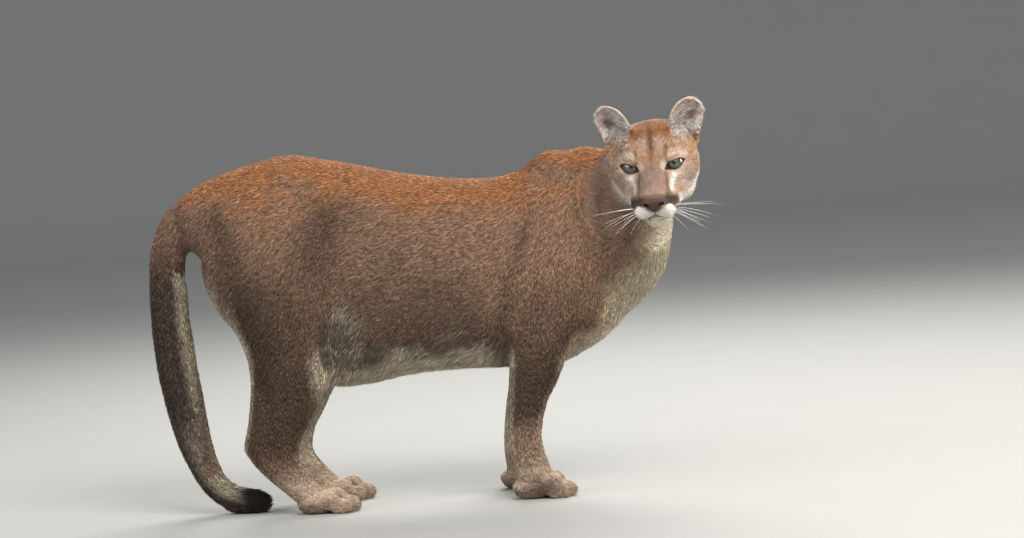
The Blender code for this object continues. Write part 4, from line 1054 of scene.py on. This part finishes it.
def grown(b, h, normals):
    """How closely tufts stand: none on bare skin or the soles' flats."""
    sole = (b[:, 2] < 0.004) & (normals[:, 2] < -0.3)
    return (~bare(h) & ~sole) * (1 - 0.75 * between_toes(b))


# How many tufts stand on the head's regions against the trunk
SPIKE_DENSITIES = {"head": 2.6, "face": 8.0, "ears": 4.0}


def spike_density(points, normals):
    b, h = to_body(points), to_head(points)
    dense = regional(1.0 + 0.4 * on_legs(b) + 1.2 * on_paws(b), SPIKE_DENSITIES, b, h)
    return dense * (1 - 0.7 * in_ears(h, normals)) * grown(b, h, normals)


def lock_density(points, normals):
    b, h = to_body(points), to_head(points)
    return (long_haired(b, h, normals) * (1 + 2.5 * on_head(h)) + 0.02) * grown(b, h, normals)


# Lengths of the tufts in metres, and the least and greatest width of one
TUFT_LENGTH = 0.0105
LIMB_LENGTHS = {"legs": 0.009, "paws": 0.0065, "tail": 0.013}
HEAD_LENGTHS = {"head": 0.008, "face": 0.0042, "ears": 0.005}
EAR_HAIR_LENGTH = 0.012
FRINGE_LENGTH = 0.015
TUFT_WIDTHS = (0.0006, 0.0019)


def tuft_shape(b, h, n, settings, rng):
    """Each tuft's length, width and rise."""
    long, inside, count = long_haired(b, h, n), in_ears(h, n), len(b)
    length = regional(np.full(count, TUFT_LENGTH), LIMB_LENGTHS, b, h)
    length += FRINGE_LENGTH * long * (1 - on_head(h))
    length = turned(regional(length, HEAD_LENGTHS, b, h), EAR_HAIR_LENGTH, inside)
    length *= 1 - 0.55 * ear_rim(h)
    length *= 1 - 0.45 * between_toes(b)
    for side, _ in SIDES:
        margin, ahead = eye_margin(h, side)
        length *= 1 - 0.5 * ((ahead > 0) * (1 - fade(-margin, 0.002, 0.01)))
    nose = np.linalg.norm((h - (0.08, 0.0, -0.048)) / (0.03, 0.035, 0.03), axis=1)
    length *= 0.55 + 0.45 * fade(nose, 0.9, 1.5)
    length *= rng.uniform(0.75, 1.2, count) * settings.length
    width = np.clip(length * 0.17, *TUFT_WIDTHS) * rng.uniform(0.8, 1.2, count) * settings.width
    width *= 1 - 0.45 * inside
    lift = 0.19 + 0.12 * long + 0.03 * on_tail(b)
    rise = length * lift * rng.uniform(0.5, 1.5, count) * settings.lift
    return length[:, None], width[:, None], rise[:, None]


# Shares of the tufts that are dark and pale ticks
DARK_TICKS = 0.18
PALE_TICKS = 0.2
TICK_GREY = np.array([1.08, 1.0, 0.92])


def ticked(colour, b, rng):
    """The colours with the pale and dark ticks of single hairs."""
    count = len(b)
    light = 1 + ripple(b, 0.012, 21) * 0.1 + rng.normal(0, 0.16, count)
    draw = rng.random(count)
    pale = draw > 1 - PALE_TICKS
    light = np.where(draw < DARK_TICKS, light * 0.5, light)
    light = np.where(pale, light * 1.5, light)
    colour = mixed(colour, colour.mean(1)[:, None] * TICK_GREY, np.where(pale, 0.2, 0.0))
    return np.clip(colour * light[:, None], 0.0, 1.0)


# The coat's pieces: name, the name of a material slot, which no step uses, and which of the tufts that are
# left go to it
COATS = (
    ("coat_ears", "ear_coat", lambda b, h: on_ears(h) >= 0.5),
    ("coat_face", "head_coat", lambda b, h: on_face(h) > 0.5),
    ("coat_head", "head_coat", lambda b, h: on_head(h) > 0.5),
    ("coat_tail_tip", "tail_tip_coat", lambda b, h: (on_tail(b) > 0.5) & (b[:, 0] > -0.6) & (b[:, 2] < 0.09)),
    ("coat_tail", "tail_coat", lambda b, h: on_tail(b) > 0.5),
    ("coat_paws", "paw_coat", lambda b, h: b[:, 2] < 0.085),
    ("coat_lower_legs", "leg_coat", lambda b, h: b[:, 2] < 0.24),
    ("coat_neck", "body_coat", lambda b, h: b[:, 0] > 0.16),
    ("coat_shoulder_left", "body_coat", lambda b, h: (b[:, 0] > -0.05) & (b[:, 1] > 0)),
    ("coat_shoulder_right", "body_coat", lambda b, h: b[:, 0] > -0.05),
    ("coat_haunch_left", "body_coat", lambda b, h: (b[:, 0] < -0.33) & (b[:, 1] > 0)),
    ("coat_haunch_right", "body_coat", lambda b, h: b[:, 0] < -0.33),
    ("coat_flank_left", "body_coat", lambda b, h: b[:, 1] > 0),
    ("coat_flank_right", "body_coat", lambda b, h: b[:, 1] <= 0),
)
# The kinds of tuft: setting with their number, where they grow, their points, faces, map places and shades
KINDS = (
    ("spikes", spike_density, spike_points, SPIKE_FACES, SPIKE_PATCH, SPIKE_SHADE),
    ("locks", lock_density, lock_points, LOCK_FACES, LOCK_PATCH, LOCK_SHADE),
)


# Waves that turn the tufts aside: size, seed and turn in radians, then each tuft's own stray
SWIRLS = ((0.05, 11, 0.14), (0.016, 12, 0.12))
STRAY = 0.12
FEWEST_TUFTS = 8


def make_coat(skin, settings):
    """The coat's tufts as joined meshes, each with its slot."""
    made = []
    for kind, density, shape, faces, patch, shade in KINDS:
        rng = np.random.default_rng(settings.seed)
        count = getattr(settings, kind) // 1
        roots, normals, patches, colour = strewn(skin.data, density, count, rng)
        b, h = to_body(roots), to_head(roots)
        along = lie(roots, normals)
        swirl = sum(ripple(b, size, seed) * turn for size, seed, turn in SWIRLS) + rng.normal(0, STRAY, count)
        side = np.cross(normals, along)
        along = unit(along * np.cos(swirl)[:, None] + side * np.sin(swirl)[:, None])
        side = np.cross(normals, along)
        points = shape(roots, normals, along, side, *tuft_shape(b, h, normals, settings, rng))
        points[:, :, 2] = np.maximum(points[:, :, 2], FLOOR_GAP)
        colour = ticked(colour, b, rng)
        left = np.ones(count, bool)
        for name, slot, chosen in COATS:
            take = chosen(b, h) & left
            left &= ~take
            if take.sum() < FEWEST_TUFTS:
                continue
            mesh = tuft_mesh(f"{name}_{kind}", points[take], faces, patch, shade, colour[take], patches[take])
            made.append((piece(mesh.name, mesh), slot))
    return made


# Eyes


DOME_START = 0.82
DOME_SPAN = 0.18
DOME_HEIGHT = 0.0012
LOOK_UP = Matrix.Rotation(math.radians(-6.0), 4, "Y")
GAZE = {
    "left": Matrix.Rotation(math.radians(-8.0), 4, "Z") @ LOOK_UP,
    "right": Matrix.Rotation(math.radians(17.0), 4, "Z") @ LOOK_UP,
}


def eye_ball(side, word):
    """An eyeball with a slight dome over the iris, whose map is centred on the pupil."""
    middle, forward, along, up = eye_axes(side)
    bm = bmesh.new()
    bmesh.ops.create_uvsphere(bm, u_segments=64, v_segments=48, radius=EYE_RADIUS)
    turn = Matrix((Vector(along), Vector(up), Vector(forward))).transposed().to_4x4()
    layer = bm.loops.layers.uv.new("iris")
    for vert in bm.verts:
        share = vert.co.z / EYE_RADIUS
        if share > DOME_START:
            vert.co.z += DOME_HEIGHT * (share - DOME_START) / DOME_SPAN
    for face in bm.faces:
        for loop in face.loops:
            loop[layer].uv = [0.5 + axis / EYE_RADIUS / 2 for axis in loop.vert.co.xy]
    place = HEAD @ Matrix.Translation(Vector(middle)) @ GAZE[word] @ turn
    if place.determinant() < 0:
        bmesh.ops.reverse_faces(bm, faces=bm.faces)
    bmesh.ops.transform(bm, matrix=place, verts=bm.verts)
    bm.normal_update()
    ball = from_bmesh(f"eyeball_{word}", bm)
    ball.data.shade_smooth()
    return ball


LID_STEPS = 72
LID_REACH = EYE_RADIUS + 0.0007
# The upper rim is thicker than the lower, partly to stand for the shade under the upper lid
UPPER_RIM = 0.0016
LOWER_RIM = 0.001


def lid_rim(side, word):
    """The dark, wet edge of the lids as a thin ring along the eye's opening, thicker along the upper lid
    partly as painted shade under it.
    """
    middle, forward, along, up = eye_axes(side)
    curve = bpy.data.curves.new("lid_rim", "CURVE")
    curve.dimensions = "3D"
    curve.bevel_depth = 1.0
    curve.bevel_resolution = 3
    spline = curve.splines.new("POLY")
    spline.points.add(LID_STEPS - 1)
    spline.use_cyclic_u = True
    for k, point in enumerate(spline.points):
        turn = k / LID_STEPS * 2 * math.pi
        upper = math.sin(turn) >= 0
        s = math.cos(turn) * 1.02
        top, low = lid_heights(np.array([min(abs(s), 1.0)]))
        flat = along * (s * EYE_OPENING / 2) + up * (top[0] if upper else -low[0])
        if flat @ flat > LID_REACH**2 * 0.96:
            flat = flat * 0.98 * LID_REACH / np.linalg.norm(flat)
        ahead = math.sqrt(max(LID_REACH**2 - flat @ flat, 0.0))
        point.co = (*(HEAD @ Vector(middle + flat + forward * ahead)), 1.0)
        point.radius = UPPER_RIM if upper else LOWER_RIM
    holder = bpy.data.objects.new("lid_rim", curve)
    bpy.context.scene.collection.objects.link(holder)
    bpy.context.view_layer.update()
    mesh = bpy.data.meshes.new_from_object(holder.evaluated_get(bpy.context.evaluated_depsgraph_get()))
    bpy.data.objects.remove(holder)
    mesh.name = f"lid_rim_{word}"
    mesh.shade_smooth()
    return piece(mesh.name, mesh)


# Whiskers


WHISKER_STEPS = 7
# Thirds of a turn, in radians
THIRDS = (0.0, 2.094, 4.189)


def whisker(bm, root, direction, length, droop, thick):
    """One whisker: a thin tapered tube that bends as it goes."""
    rings = []
    direction = direction.normalized()
    side = direction.cross(Vector((0, 0, 1))).normalized()
    up = side.cross(direction)
    for k in range(WHISKER_STEPS):
        t = k / WHISKER_STEPS
        centre = root + direction * (length * t) + Vector((0, 0, -1)) * (droop * t * t)
        radius = thick * (1 - t) ** 0.8
        ring = [centre + (side * math.cos(a) + up * math.sin(a)) * radius for a in THIRDS]
        rings.append([bm.verts.new(place) for place in ring])
    tip = bm.verts.new(root + direction * length + Vector((0, 0, -1)) * droop)
    bm.faces.new(reversed(rings[0]))
    for a, b in zip(rings, rings[1:]):
        for i in range(3):
            j = (i + 1) % 3
            bm.faces.new((a[i], a[j], b[j], b[i]))
    for i in range(3):
        bm.faces.new((rings[-1][i], rings[-1][(i + 1) % 3], tip))


# Whisker rows on each side of the muzzle: root in head coordinates, direction outwards, length and droop
WHISKERS = (
    ((0.067, 0.031, -0.056), (0.25, 1.0, 0.1), 0.085, 0.004),
    ((0.062, 0.034, -0.058), (0.1, 1.0, 0.05), 0.095, 0.006),
    ((0.055, 0.036, -0.06), (-0.05, 1.0, 0.0), 0.09, 0.008),
    ((0.069, 0.029, -0.062), (0.3, 1.0, -0.15), 0.08, 0.008),
    ((0.063, 0.033, -0.064), (0.15, 1.0, -0.15), 0.095, 0.012),
    ((0.056, 0.036, -0.0655), (0.0, 1.0, -0.2), 0.085, 0.014),
    ((0.066, 0.03, -0.068), (0.25, 0.95, -0.45), 0.07, 0.012),
    ((0.06, 0.033, -0.0705), (0.05, 0.95, -0.5), 0.075, 0.014),
    ((0.052, 0.036, -0.071), (-0.1, 0.95, -0.5), 0.065, 0.014),
    ((0.064, 0.028, -0.0745), (0.2, 0.8, -0.8), 0.05, 0.008),
)


def make_whiskers(settings):
    bm = bmesh.new()
    rng = np.random.default_rng(settings.seed)
    for root, direction, length, droop in WHISKERS:
        for side, _ in SIDES:
            mirror = Vector((1.0, side, 1.0))
            start = HEAD @ (Vector(root) * mirror)
            wander = Vector(rng.normal(0, 0.05, 3))
            heading = HEAD.to_3x3() @ (Vector(direction) * mirror + wander)
            whisker(bm, start, heading, length * rng.uniform(0.85, 1.1), droop, settings.whisker)
    bmesh.ops.recalc_face_normals(bm, faces=bm.faces)
    made = from_bmesh("whiskers", bm)
    made.data.shade_smooth()
    return made


# Materials


def new_node(tree, kind, values=None, **fields):
    """A new shader node with its fields set and its inputs given their values."""
    node = tree.nodes.new("ShaderNode" + kind)
    for field, value in fields.items():
        setattr(node, field, value)
    set_inputs(node, values or {})
    return node


def set_inputs(node, values):
    for socket, value in values.items():
        node.inputs[socket].default_value = value


def linked(tree, *links):
    """Links each start node's output to the end node's input."""
    for start, output, end, into in links:
        tree.links.new(start.outputs[output], end.inputs[into])


def new_material(name, values):
    """A new material with its node tree and its shader, whose inputs are given the values."""
    material = bpy.data.materials.new(name)
    material.use_nodes = True
    shader = material.node_tree.nodes["Principled BSDF"]
    set_inputs(shader, values)
    return material, material.node_tree, shader


TONE_SOCKETS = (
    ("Colour", "INPUT", "NodeSocketColor", None),
    ("Grain Scale", "INPUT", "NodeSocketFloat", 400.0),
    ("Grain Strength", "INPUT", "NodeSocketFloat", 0.25),
    ("Roughness", "INPUT", "NodeSocketFloat", 0.7),
    ("Colour", "OUTPUT", "NodeSocketColor", None),
    ("Roughness", "OUTPUT", "NodeSocketFloat", None),
    ("Height", "OUTPUT", "NodeSocketFloat", None),
)


def coat_tone_group():
    """Colour, roughness and height that vary over a coat or a skin, from its painted colour."""
    tree = bpy.data.node_groups.new("CoatTone", "ShaderNodeTree")
    for name, way, kind, value in TONE_SOCKETS:
        socket = tree.interface.new_socket(name=name, in_out=way, socket_type=kind)
        if value is not None:
            socket.default_value = value
    inside, out = tree.nodes.new("NodeGroupInput"), tree.nodes.new("NodeGroupOutput")
    where = new_node(tree, "TexCoord")
    grain = new_node(tree, "TexNoise", {"Detail": 3.0})
    centred = new_node(tree, "Math", {1: 0.5}, operation="SUBTRACT")
    scaled = new_node(tree, "Math", {2: 1.0}, operation="MULTIPLY_ADD")
    tint = new_node(tree, "VectorMath", operation="SCALE")
    rough = new_node(tree, "Math", operation="MULTIPLY", use_clamp=True)
    linked(
        tree,
        (where, "Object", grain, "Vector"),
        (inside, "Grain Scale", grain, "Scale"),
        (grain, "Fac", centred, 0),
        (centred, 0, scaled, 0),
        (inside, "Grain Strength", scaled, 1),
        (inside, "Colour", tint, 0),
        (scaled, 0, tint, "Scale"),
        (inside, "Roughness", rough, 0),
        (scaled, 0, rough, 1),
        (tint, 0, out, "Colour"),
        (rough, 0, out, "Roughness"),
        (grain, "Fac", out, "Height"),
    )
    return tree


def painted_material(name, group, grain, strength, roughness, bump, sheen=0.0):
    """A material that takes its colour from the mesh's painted layer, with grain and bump."""
    values = {"Specular IOR Level": 0.25, "Sheen Weight": sheen, "Sheen Roughness": 0.5}
    material, tree, shader = new_material(name, values)
    colour = new_node(tree, "VertexColor", layer_name="coat")
    tone = new_node(tree, "Group", node_tree=group)
    set_inputs(tone, {"Grain Scale": grain, "Grain Strength": strength, "Roughness": roughness})
    relief = new_node(tree, "Bump", {"Strength": bump, "Distance": 0.001})
    linked(
        tree,
        (colour, "Color", tone, "Colour"),
        (tone, "Colour", shader, "Base Color"),
        (tone, "Roughness", shader, "Roughness"),
        (tone, "Height", relief, "Height"),
        (relief, "Normal", shader, "Normal"),
    )
    return material


PUPIL_BLACK = (0.004, 0.004, 0.004)
IRIS_RIM = (0.012, 0.01, 0.008)
EYE_WHITE = (0.06, 0.035, 0.022)


def eye_material(settings):
    """A wet eye: black pupil, iris with fine fibres and a dark rim, and a dark brownish white."""
    values = {"Roughness": 0.06, "Coat Weight": 1.0, "Coat Roughness": 0.02}
    material, tree, shader = new_material("wet_eye", values)
    where = new_node(tree, "UVMap", uv_map="iris")
    centred = new_node(tree, "VectorMath", {1: (0.5, 0.5, 0.0)}, operation="SUBTRACT")
    reach = new_node(tree, "VectorMath", operation="LENGTH")
    rings = new_node(tree, "ValToRGB")
    stops = (
        (0.0, PUPIL_BLACK),
        (settings.pupil, PUPIL_BLACK),
        (settings.pupil + 0.012, [c * 1.25 for c in settings.iris]),
        (settings.pupil + 0.09, settings.iris),
        (settings.iris_edge - 0.03, [c * 0.7 for c in settings.iris]),
        (settings.iris_edge, IRIS_RIM),
        (settings.iris_edge + 0.05, EYE_WHITE),
    )
    elements = rings.color_ramp.elements
    while len(elements) < len(stops):
        elements.new(0.5)
    for element, (place, colour) in zip(elements, stops):
        element.position = place
        element.color = (*colour, 1.0)
    direction = new_node(tree, "VectorMath", operation="NORMALIZE")
    fibres = new_node(tree, "TexNoise", {"Scale": 14.0, "Detail": 4.0})
    spread = new_node(tree, "MapRange", {"To Min": 0.55, "To Max": 1.45})
    tint = new_node(tree, "VectorMath", operation="SCALE")
    linked(
        tree,
        (where, "UV", centred, 0),
        (centred, 0, reach, 0),
        (reach, "Value", rings, "Fac"),
        (centred, 0, direction, 0),
        (direction, 0, fibres, "Vector"),
        (fibres, "Fac", spread, "Value"),
        (rings, "Color", tint, 0),
        (spread, "Result", tint, "Scale"),
        (tint, 0, shader, "Base Color"),
    )
    return material


def plain_material(name, colour, roughness, coat=0.0, vary=0.25, grain=300.0):
    """A material of one colour that varies a little over the surface."""
    values = {"Roughness": roughness, "Coat Weight": coat, "Coat Roughness": 0.1}
    material, tree, shader = new_material(name, values)
    where = new_node(tree, "TexCoord")
    noise = new_node(tree, "TexNoise", {"Scale": grain})
    darker = (*[c * (1 - vary) for c in colour], 1.0)
    lighter = (*[min(1.0, c * (1 + vary)) for c in colour], 1.0)
    blend = new_node(tree, "Mix", {"A": darker, "B": lighter}, data_type="RGBA")
    linked(
        tree,
        (where, "Object", noise, "Vector"),
        (noise, "Fac", blend, "Factor"),
        (blend, "Result", shader, "Base Color"),
    )
    return material


# Settings


def colour_property(name, value, description):
    return FloatVectorProperty(
        name=name, description=description, subtype="COLOR", size=3, min=0.0, max=1.0, default=value
    )


COLOURS = {
    "back": ((0.33, 0.138, 0.052), "Warm band along the back and the top of the neck"),
    # Also painted light on the top of the tail
    "side": ((0.255, 0.147, 0.094), "Upper flank, shoulder and side of the neck"),
    # Darker than the upper flank partly as painted shade
    "flank": ((0.146, 0.088, 0.055), "Middle and lower flank"),
    # Painted shade in the hip hollow and the folds, and darker fur with painted shade in the band behind the
    # thigh
    "shade": ((0.034, 0.019, 0.012), "Hollow before the hip, band behind the thigh, folds"),
    # Dark partly as painted shade
    "haunch": ((0.105, 0.06, 0.037), "Thigh"),
    "grey": ((0.26, 0.21, 0.155), "Lower flank and the fold before the thigh"),
    "leg": ((0.09, 0.053, 0.031), "Upper part of the legs"),
    "shank": ((0.29, 0.19, 0.13), "Lower part of the legs"),
    # Also painted rim light on edges of the body, legs and tail
    "pale": ((0.68, 0.58, 0.43), "Belly fringe, chest edge and inner legs"),
    "throat": ((0.5, 0.4, 0.262), "Throat and chest beside the pale edge"),
    "white": ((0.85, 0.83, 0.77), "Muzzle pads, cheek edge and patches under the eyes"),
    "chin": ((0.9, 0.87, 0.72), "Chin"),
    "paw": ((0.5, 0.375, 0.28), "Tops of the paws"),
    # Dark partly as painted shade
    "tail": ((0.072, 0.048, 0.034), "Length of the tail"),
    "tip": ((0.02, 0.014, 0.012), "Tip of the tail"),
    "face": ((0.37, 0.22, 0.135), "Forehead and temples"),
    "crown": ((0.235, 0.08, 0.014), "Top of the head"),
    "temple": ((0.44, 0.24, 0.105), "Side of the head before the ear"),
    # Also painted rim light on the edges of the ears
    "brow": ((0.56, 0.42, 0.34), "Pale patches over the eyes"),
    "cheek": ((0.44, 0.33, 0.265), "Cheek below the eye"),
    "bridge": ((0.27, 0.18, 0.145), "Top of the muzzle"),
    # Also painted shade between the toes, on the near forepaw and above the inner corners of the eyes
    "dark": ((0.03, 0.021, 0.018), "Sides of the muzzle, tear lines and rims of the eyes"),
    "ear": ((0.17, 0.115, 0.082), "Back of the ear"),
    "ear_inside": ((0.62, 0.53, 0.49), "Hair inside the ear"),
    # Partly painted shade
    "ear_deep": ((0.14, 0.06, 0.042), "Deepest part of the ear"),
    "nose": ((0.078, 0.036, 0.029), "Leather of the nose"),
}


class CougarColours(bpy.types.PropertyGroup):
    """Colours of the coat and the bare skin, as linear red, green and blue."""

    __annotations__ = {
        key: colour_property(key.replace("_", " ").title(), value, description)
        for key, (value, description) in COLOURS.items()
    }


def real(name, value, description, **more):
    return FloatProperty(name=name, default=value, description=description, **more)


def whole(name, value, description):
    return IntProperty(name=name, default=value, description=description, min=0)


class CougarSkinSettings(bpy.types.PropertyGroup):
    """Fineness of the skin."""

    cell: real("Cell", 0.0022, "Size of the fused skin's cells", unit="LENGTH", precision=4)
    rounds: whole("Smoothing", 70, "Rounds of smoothing")
    triangles: whole("Triangles", 150000, "Triangles that the skin keeps")
    # How much painted shade darkens the coat in the hollows
    hollow_shade: real("Creases", 0.6, "How much darker the coat is in hollows")


class CougarCoatSettings(bpy.types.PropertyGroup):
    """Number and shape of the tufts and whiskers."""

    spikes: whole("Spikes", 290000, "Number of short tufts on the whole animal")
    locks: whole("Locks", 26000, "Number of bent tufts where the hair is long")
    length: real("Length", 1.0, "Length of the tufts against the usual")
    width: real("Width", 1.0, "Width of the tufts against the usual")
    lift: real("Lift", 1.0, "How far the tufts stand off the skin")
    whisker: real("Whisker", 0.00048, "Radius of a whisker at its root", unit="LENGTH", precision=5)
    seed: whole("Seed", 7, "Start of the random draws")


class CougarEyeSettings(bpy.types.PropertyGroup):
    """Size and colour of the iris and pupil, as shares of the eye's width."""

    iris: colour_property("Iris", (0.075, 0.08, 0.05), "Grey-green of the iris")
    pupil: real("Pupil", 0.1, "Radius of the pupil on the iris map")
    iris_edge: real("Iris Edge", 0.325, "Radius of the iris on its map")


class CougarStageSettings(bpy.types.PropertyGroup):
    """Camera and light."""

    azimuth: real("Azimuth", math.radians(4.0), "Camera's place round the animal", subtype="ANGLE")
    elevation: real("Elevation", math.radians(4.0), "Camera's height as an angle", subtype="ANGLE")
    roll: real("Roll", math.radians(4.5), "Camera's turn clockwise", subtype="ANGLE")
    distance: real("Distance", 6.5, "Camera's distance", unit="LENGTH")
    aim_height: real("Aim Height", 0.455, "Height that the camera aims at", unit="LENGTH")
    lens: real("Lens", 114.26, "Focal length in millimetres")
    key: real("Key Light", 225.0, "Power of the main light in watts")
    fill: real("Fill Light", 70.0, "Power of the light from the other side in watts")
    sky: real("Sky", 0.7, "Strength of the light from all round")


# Operators


def dressed(obj):
    """Ties a finished piece to the animal."""
    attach(obj, "root")


class COUGAR_OT_skin(bpy.types.Operator):
    """Make the skin with the face modelled in it"""

    bl_idname = "cougar.skin"
    bl_label = "Make Skin"

    def execute(self, context):
        scene = context.scene
        skin = make_skin(scene.cougar_skin, scene.cougar_colours)
        group = coat_tone_group()
        hide = painted_material("coat_skin", group, grain=700.0, strength=0.5, roughness=0.85, bump=0.5)
        look = {"grain": 1600.0, "strength": 0.5, "roughness": 0.42, "bump": 0.6}
        leather = painted_material("nose_leather", group, **look)
        skin.data.materials.append(hide)
        skin.data.materials.append(leather)
        middles = np.array([p.center for p in skin.data.polygons])
        bare_nose = on_nose(to_head(middles)) > 0.5
        skin.data.polygons.foreach_set("material_index", bare_nose.astype(np.int32))
        unwrapped(skin)
        dressed(skin)
        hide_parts(*FLESH)
        return {"FINISHED"}


class COUGAR_OT_coat(bpy.types.Operator):
    """Grow the coat's tufts on the skin"""

    bl_idname = "cougar.coat"
    bl_label = "Grow Coat"

    def execute(self, context):
        scene = context.scene
        skin = bpy.data.objects.get("skin")
        if skin is None:
            raise RuntimeError("make the skin before the coat")
        group = bpy.data.node_groups["CoatTone"]
        look = {"grain": 500.0, "strength": 0.35, "roughness": 0.62, "bump": 0.0, "sheen": 0.06}
        fur = painted_material("coat_fur", group, **look)
        for obj, slot in make_coat(skin, scene.cougar_coat):
            obj.data.materials.append(fur)
            dressed(obj)
        return {"FINISHED"}


class COUGAR_OT_eyes(bpy.types.Operator):
    """Make the eyeballs and the rims of the lids"""

    bl_idname = "cougar.eyes"
    bl_label = "Make Eyes"

    def execute(self, context):
        wet = eye_material(context.scene.cougar_eyes)
        rim = plain_material("lid_rim_skin", (0.02, 0.013, 0.011), roughness=0.3, coat=0.3)
        for side, word in SIDES:
            ball = eye_ball(side, word)
            ball.data.materials.append(wet)
            dressed(ball)
            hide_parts(f"eye_{word}")
            edge = lid_rim(side, word)
            edge.data.materials.append(rim)
            dressed(edge)
        return {"FINISHED"}


class COUGAR_OT_whiskers(bpy.types.Operator):
    """Set the whiskers in the muzzle"""

    bl_idname = "cougar.whiskers"
    bl_label = "Set Whiskers"

    def execute(self, context):
        made = make_whiskers(context.scene.cougar_coat)
        hair = plain_material("whisker_hair", (0.8, 0.78, 0.73), roughness=0.4, vary=0.08)
        made.data.materials.append(hair)
        dressed(made)
        return {"FINISHED"}


def area_light(name, place, aim, size, power, colour):
    light = bpy.data.lights.new(name, "AREA")
    light.shape = "RECTANGLE"
    light.size, light.size_y = size
    light.energy = power
    light.color = colour
    lamp = bpy.data.objects.new(name, light)
    bpy.context.scene.collection.objects.link(lamp)
    lamp.location = place
    lamp.rotation_euler = (Vector(aim) - Vector(place)).to_track_quat("-Z", "Y").to_euler()


# Lights: name, place, aim, width and height, the setting that gives the power, its share of it, and colour
LIGHTS = (
    ("key", (1.6, -2.6, 3.2), (0.0, 0.0, 0.4), (2.6, 2.0), "key", 1.0, (1.0, 0.97, 0.92)),
    ("fill", (-3.0, -1.5, 1.8), (0.0, 0.0, 0.4), (2.5, 2.0), "fill", 1.0, (0.93, 0.96, 1.0)),
    ("rim", (0.5, 3.0, 3.0), (0.0, 0.0, 0.4), (3.0, 1.5), "fill", 2.6, (1.0, 0.98, 0.95)),
    ("front", (3.2, 0.4, 1.3), (0.2, 0.0, 0.5), (1.6, 1.6), "fill", 1.0, (1.0, 0.97, 0.9)),
)
STAGE_RADIUS = 9.0
STAGE_CURVE = 3.0
STAGE_WALL = 7.0
CURVE_STEPS = 12


def studio_floor():
    """A round floor that curves up into a wall all round, so that no edge shows behind the animal."""
    bm = bmesh.new()
    line = [Vector((0.0, 0.0, 0.0)), Vector((STAGE_RADIUS, 0.0, 0.0))]
    for k in range(1, CURVE_STEPS + 1):
        turn = k / CURVE_STEPS * math.pi / 2
        out, up = STAGE_CURVE * math.sin(turn), STAGE_CURVE * (1 - math.cos(turn))
        line.append(Vector((STAGE_RADIUS + out, 0.0, up)))
    line.append(Vector((STAGE_RADIUS + STAGE_CURVE, 0.0, STAGE_WALL)))
    verts = [bm.verts.new(p) for p in line]
    edges = [bm.edges.new(pair) for pair in zip(verts, verts[1:])]
    bmesh.ops.spin(bm, geom=verts + edges, cent=(0, 0, 0), axis=(0, 0, 1), angle=2 * math.pi, steps=64)
    bmesh.ops.remove_doubles(bm, verts=bm.verts, dist=0.001)
    floor = from_bmesh("floor", bm)
    floor.data.shade_smooth()
    return floor


class COUGAR_OT_stage(bpy.types.Operator):
    """Set the floor, the light and the camera"""

    bl_idname = "cougar.stage"
    bl_label = "Set Stage"

    def execute(self, context):
        scene = context.scene
        stage = scene.cougar_stage
        floor = studio_floor()
        ground = plain_material("pale_floor", (0.31, 0.305, 0.29), roughness=0.8, vary=0.02, grain=4.0)
        floor.data.materials.append(ground)
        world = bpy.data.worlds.new("soft_sky")
        world.use_nodes = True
        background = world.node_tree.nodes["Background"]
        background.inputs["Color"].default_value = (0.9, 0.95, 1.0, 1.0)
        background.inputs["Strength"].default_value = stage.sky
        scene.world = world
        for name, place, aim, size, setting, share, colour in LIGHTS:
            area_light(name, place, aim, size, getattr(stage, setting) * share, colour)
        camera = bpy.data.cameras.new("photo_view")
        camera.sensor_width = 36.0
        camera.lens = stage.lens
        camera.clip_end = 100.0
        holder = bpy.data.objects.new("photo_view", camera)
        scene.collection.objects.link(holder)
        a, e = stage.azimuth, stage.elevation
        back = Vector((math.sin(a) * math.cos(e), -math.cos(a) * math.cos(e), math.sin(e)))
        right = Vector((math.cos(a), math.sin(a), 0.0))
        up = back.cross(right)
        c, s = math.cos(stage.roll), math.sin(stage.roll)
        turn = Matrix((right * c - up * s, right * s + up * c, back)).transposed().to_4x4()
        aim = BODY + Vector((0.0, 0.0, stage.aim_height))
        holder.matrix_world = Matrix.Translation(aim + back * stage.distance) @ turn
        scene.camera = holder
        scene.view_settings.view_transform = "Standard"
        return {"FINISHED"}


class COUGAR_PT_panel(bpy.types.Panel):
    """Lists the steps that dress the cougar."""

    bl_label = "Cougar"
    bl_idname = "COUGAR_PT_panel"
    bl_space_type = "VIEW_3D"
    bl_region_type = "UI"
    bl_category = "Cougar"

    def draw(self, context):
        for operator in OPERATORS:
            self.layout.operator(operator.bl_idname)
        for settings in SETTINGS:
            box = self.layout.box()
            for name in SETTINGS[settings].__annotations__:
                box.prop(getattr(context.scene, settings), name)


OPERATORS = (COUGAR_OT_skin, COUGAR_OT_coat, COUGAR_OT_eyes, COUGAR_OT_whiskers, COUGAR_OT_stage)
SETTINGS = {
    "cougar_colours": CougarColours,
    "cougar_skin": CougarSkinSettings,
    "cougar_coat": CougarCoatSettings,
    "cougar_eyes": CougarEyeSettings,
    "cougar_stage": CougarStageSettings,
}
CLASSES = (*SETTINGS.values(), *OPERATORS, COUGAR_PT_panel)


def register():
    for cls in CLASSES:
        bpy.utils.register_class(cls)
    for name, cls in SETTINGS.items():
        setattr(bpy.types.Scene, name, PointerProperty(type=cls))


def unregister():
    for name in SETTINGS:
        delattr(bpy.types.Scene, name)
    for cls in reversed(CLASSES):
        bpy.utils.unregister_class(cls)


def main():
    """Dresses the cougar."""
    register()
    bpy.ops.cougar.skin()
    bpy.ops.cougar.coat()
    bpy.ops.cougar.eyes()
    bpy.ops.cougar.whiskers()
    bpy.ops.cougar.stage()


if __name__ == "__main__":
    main()
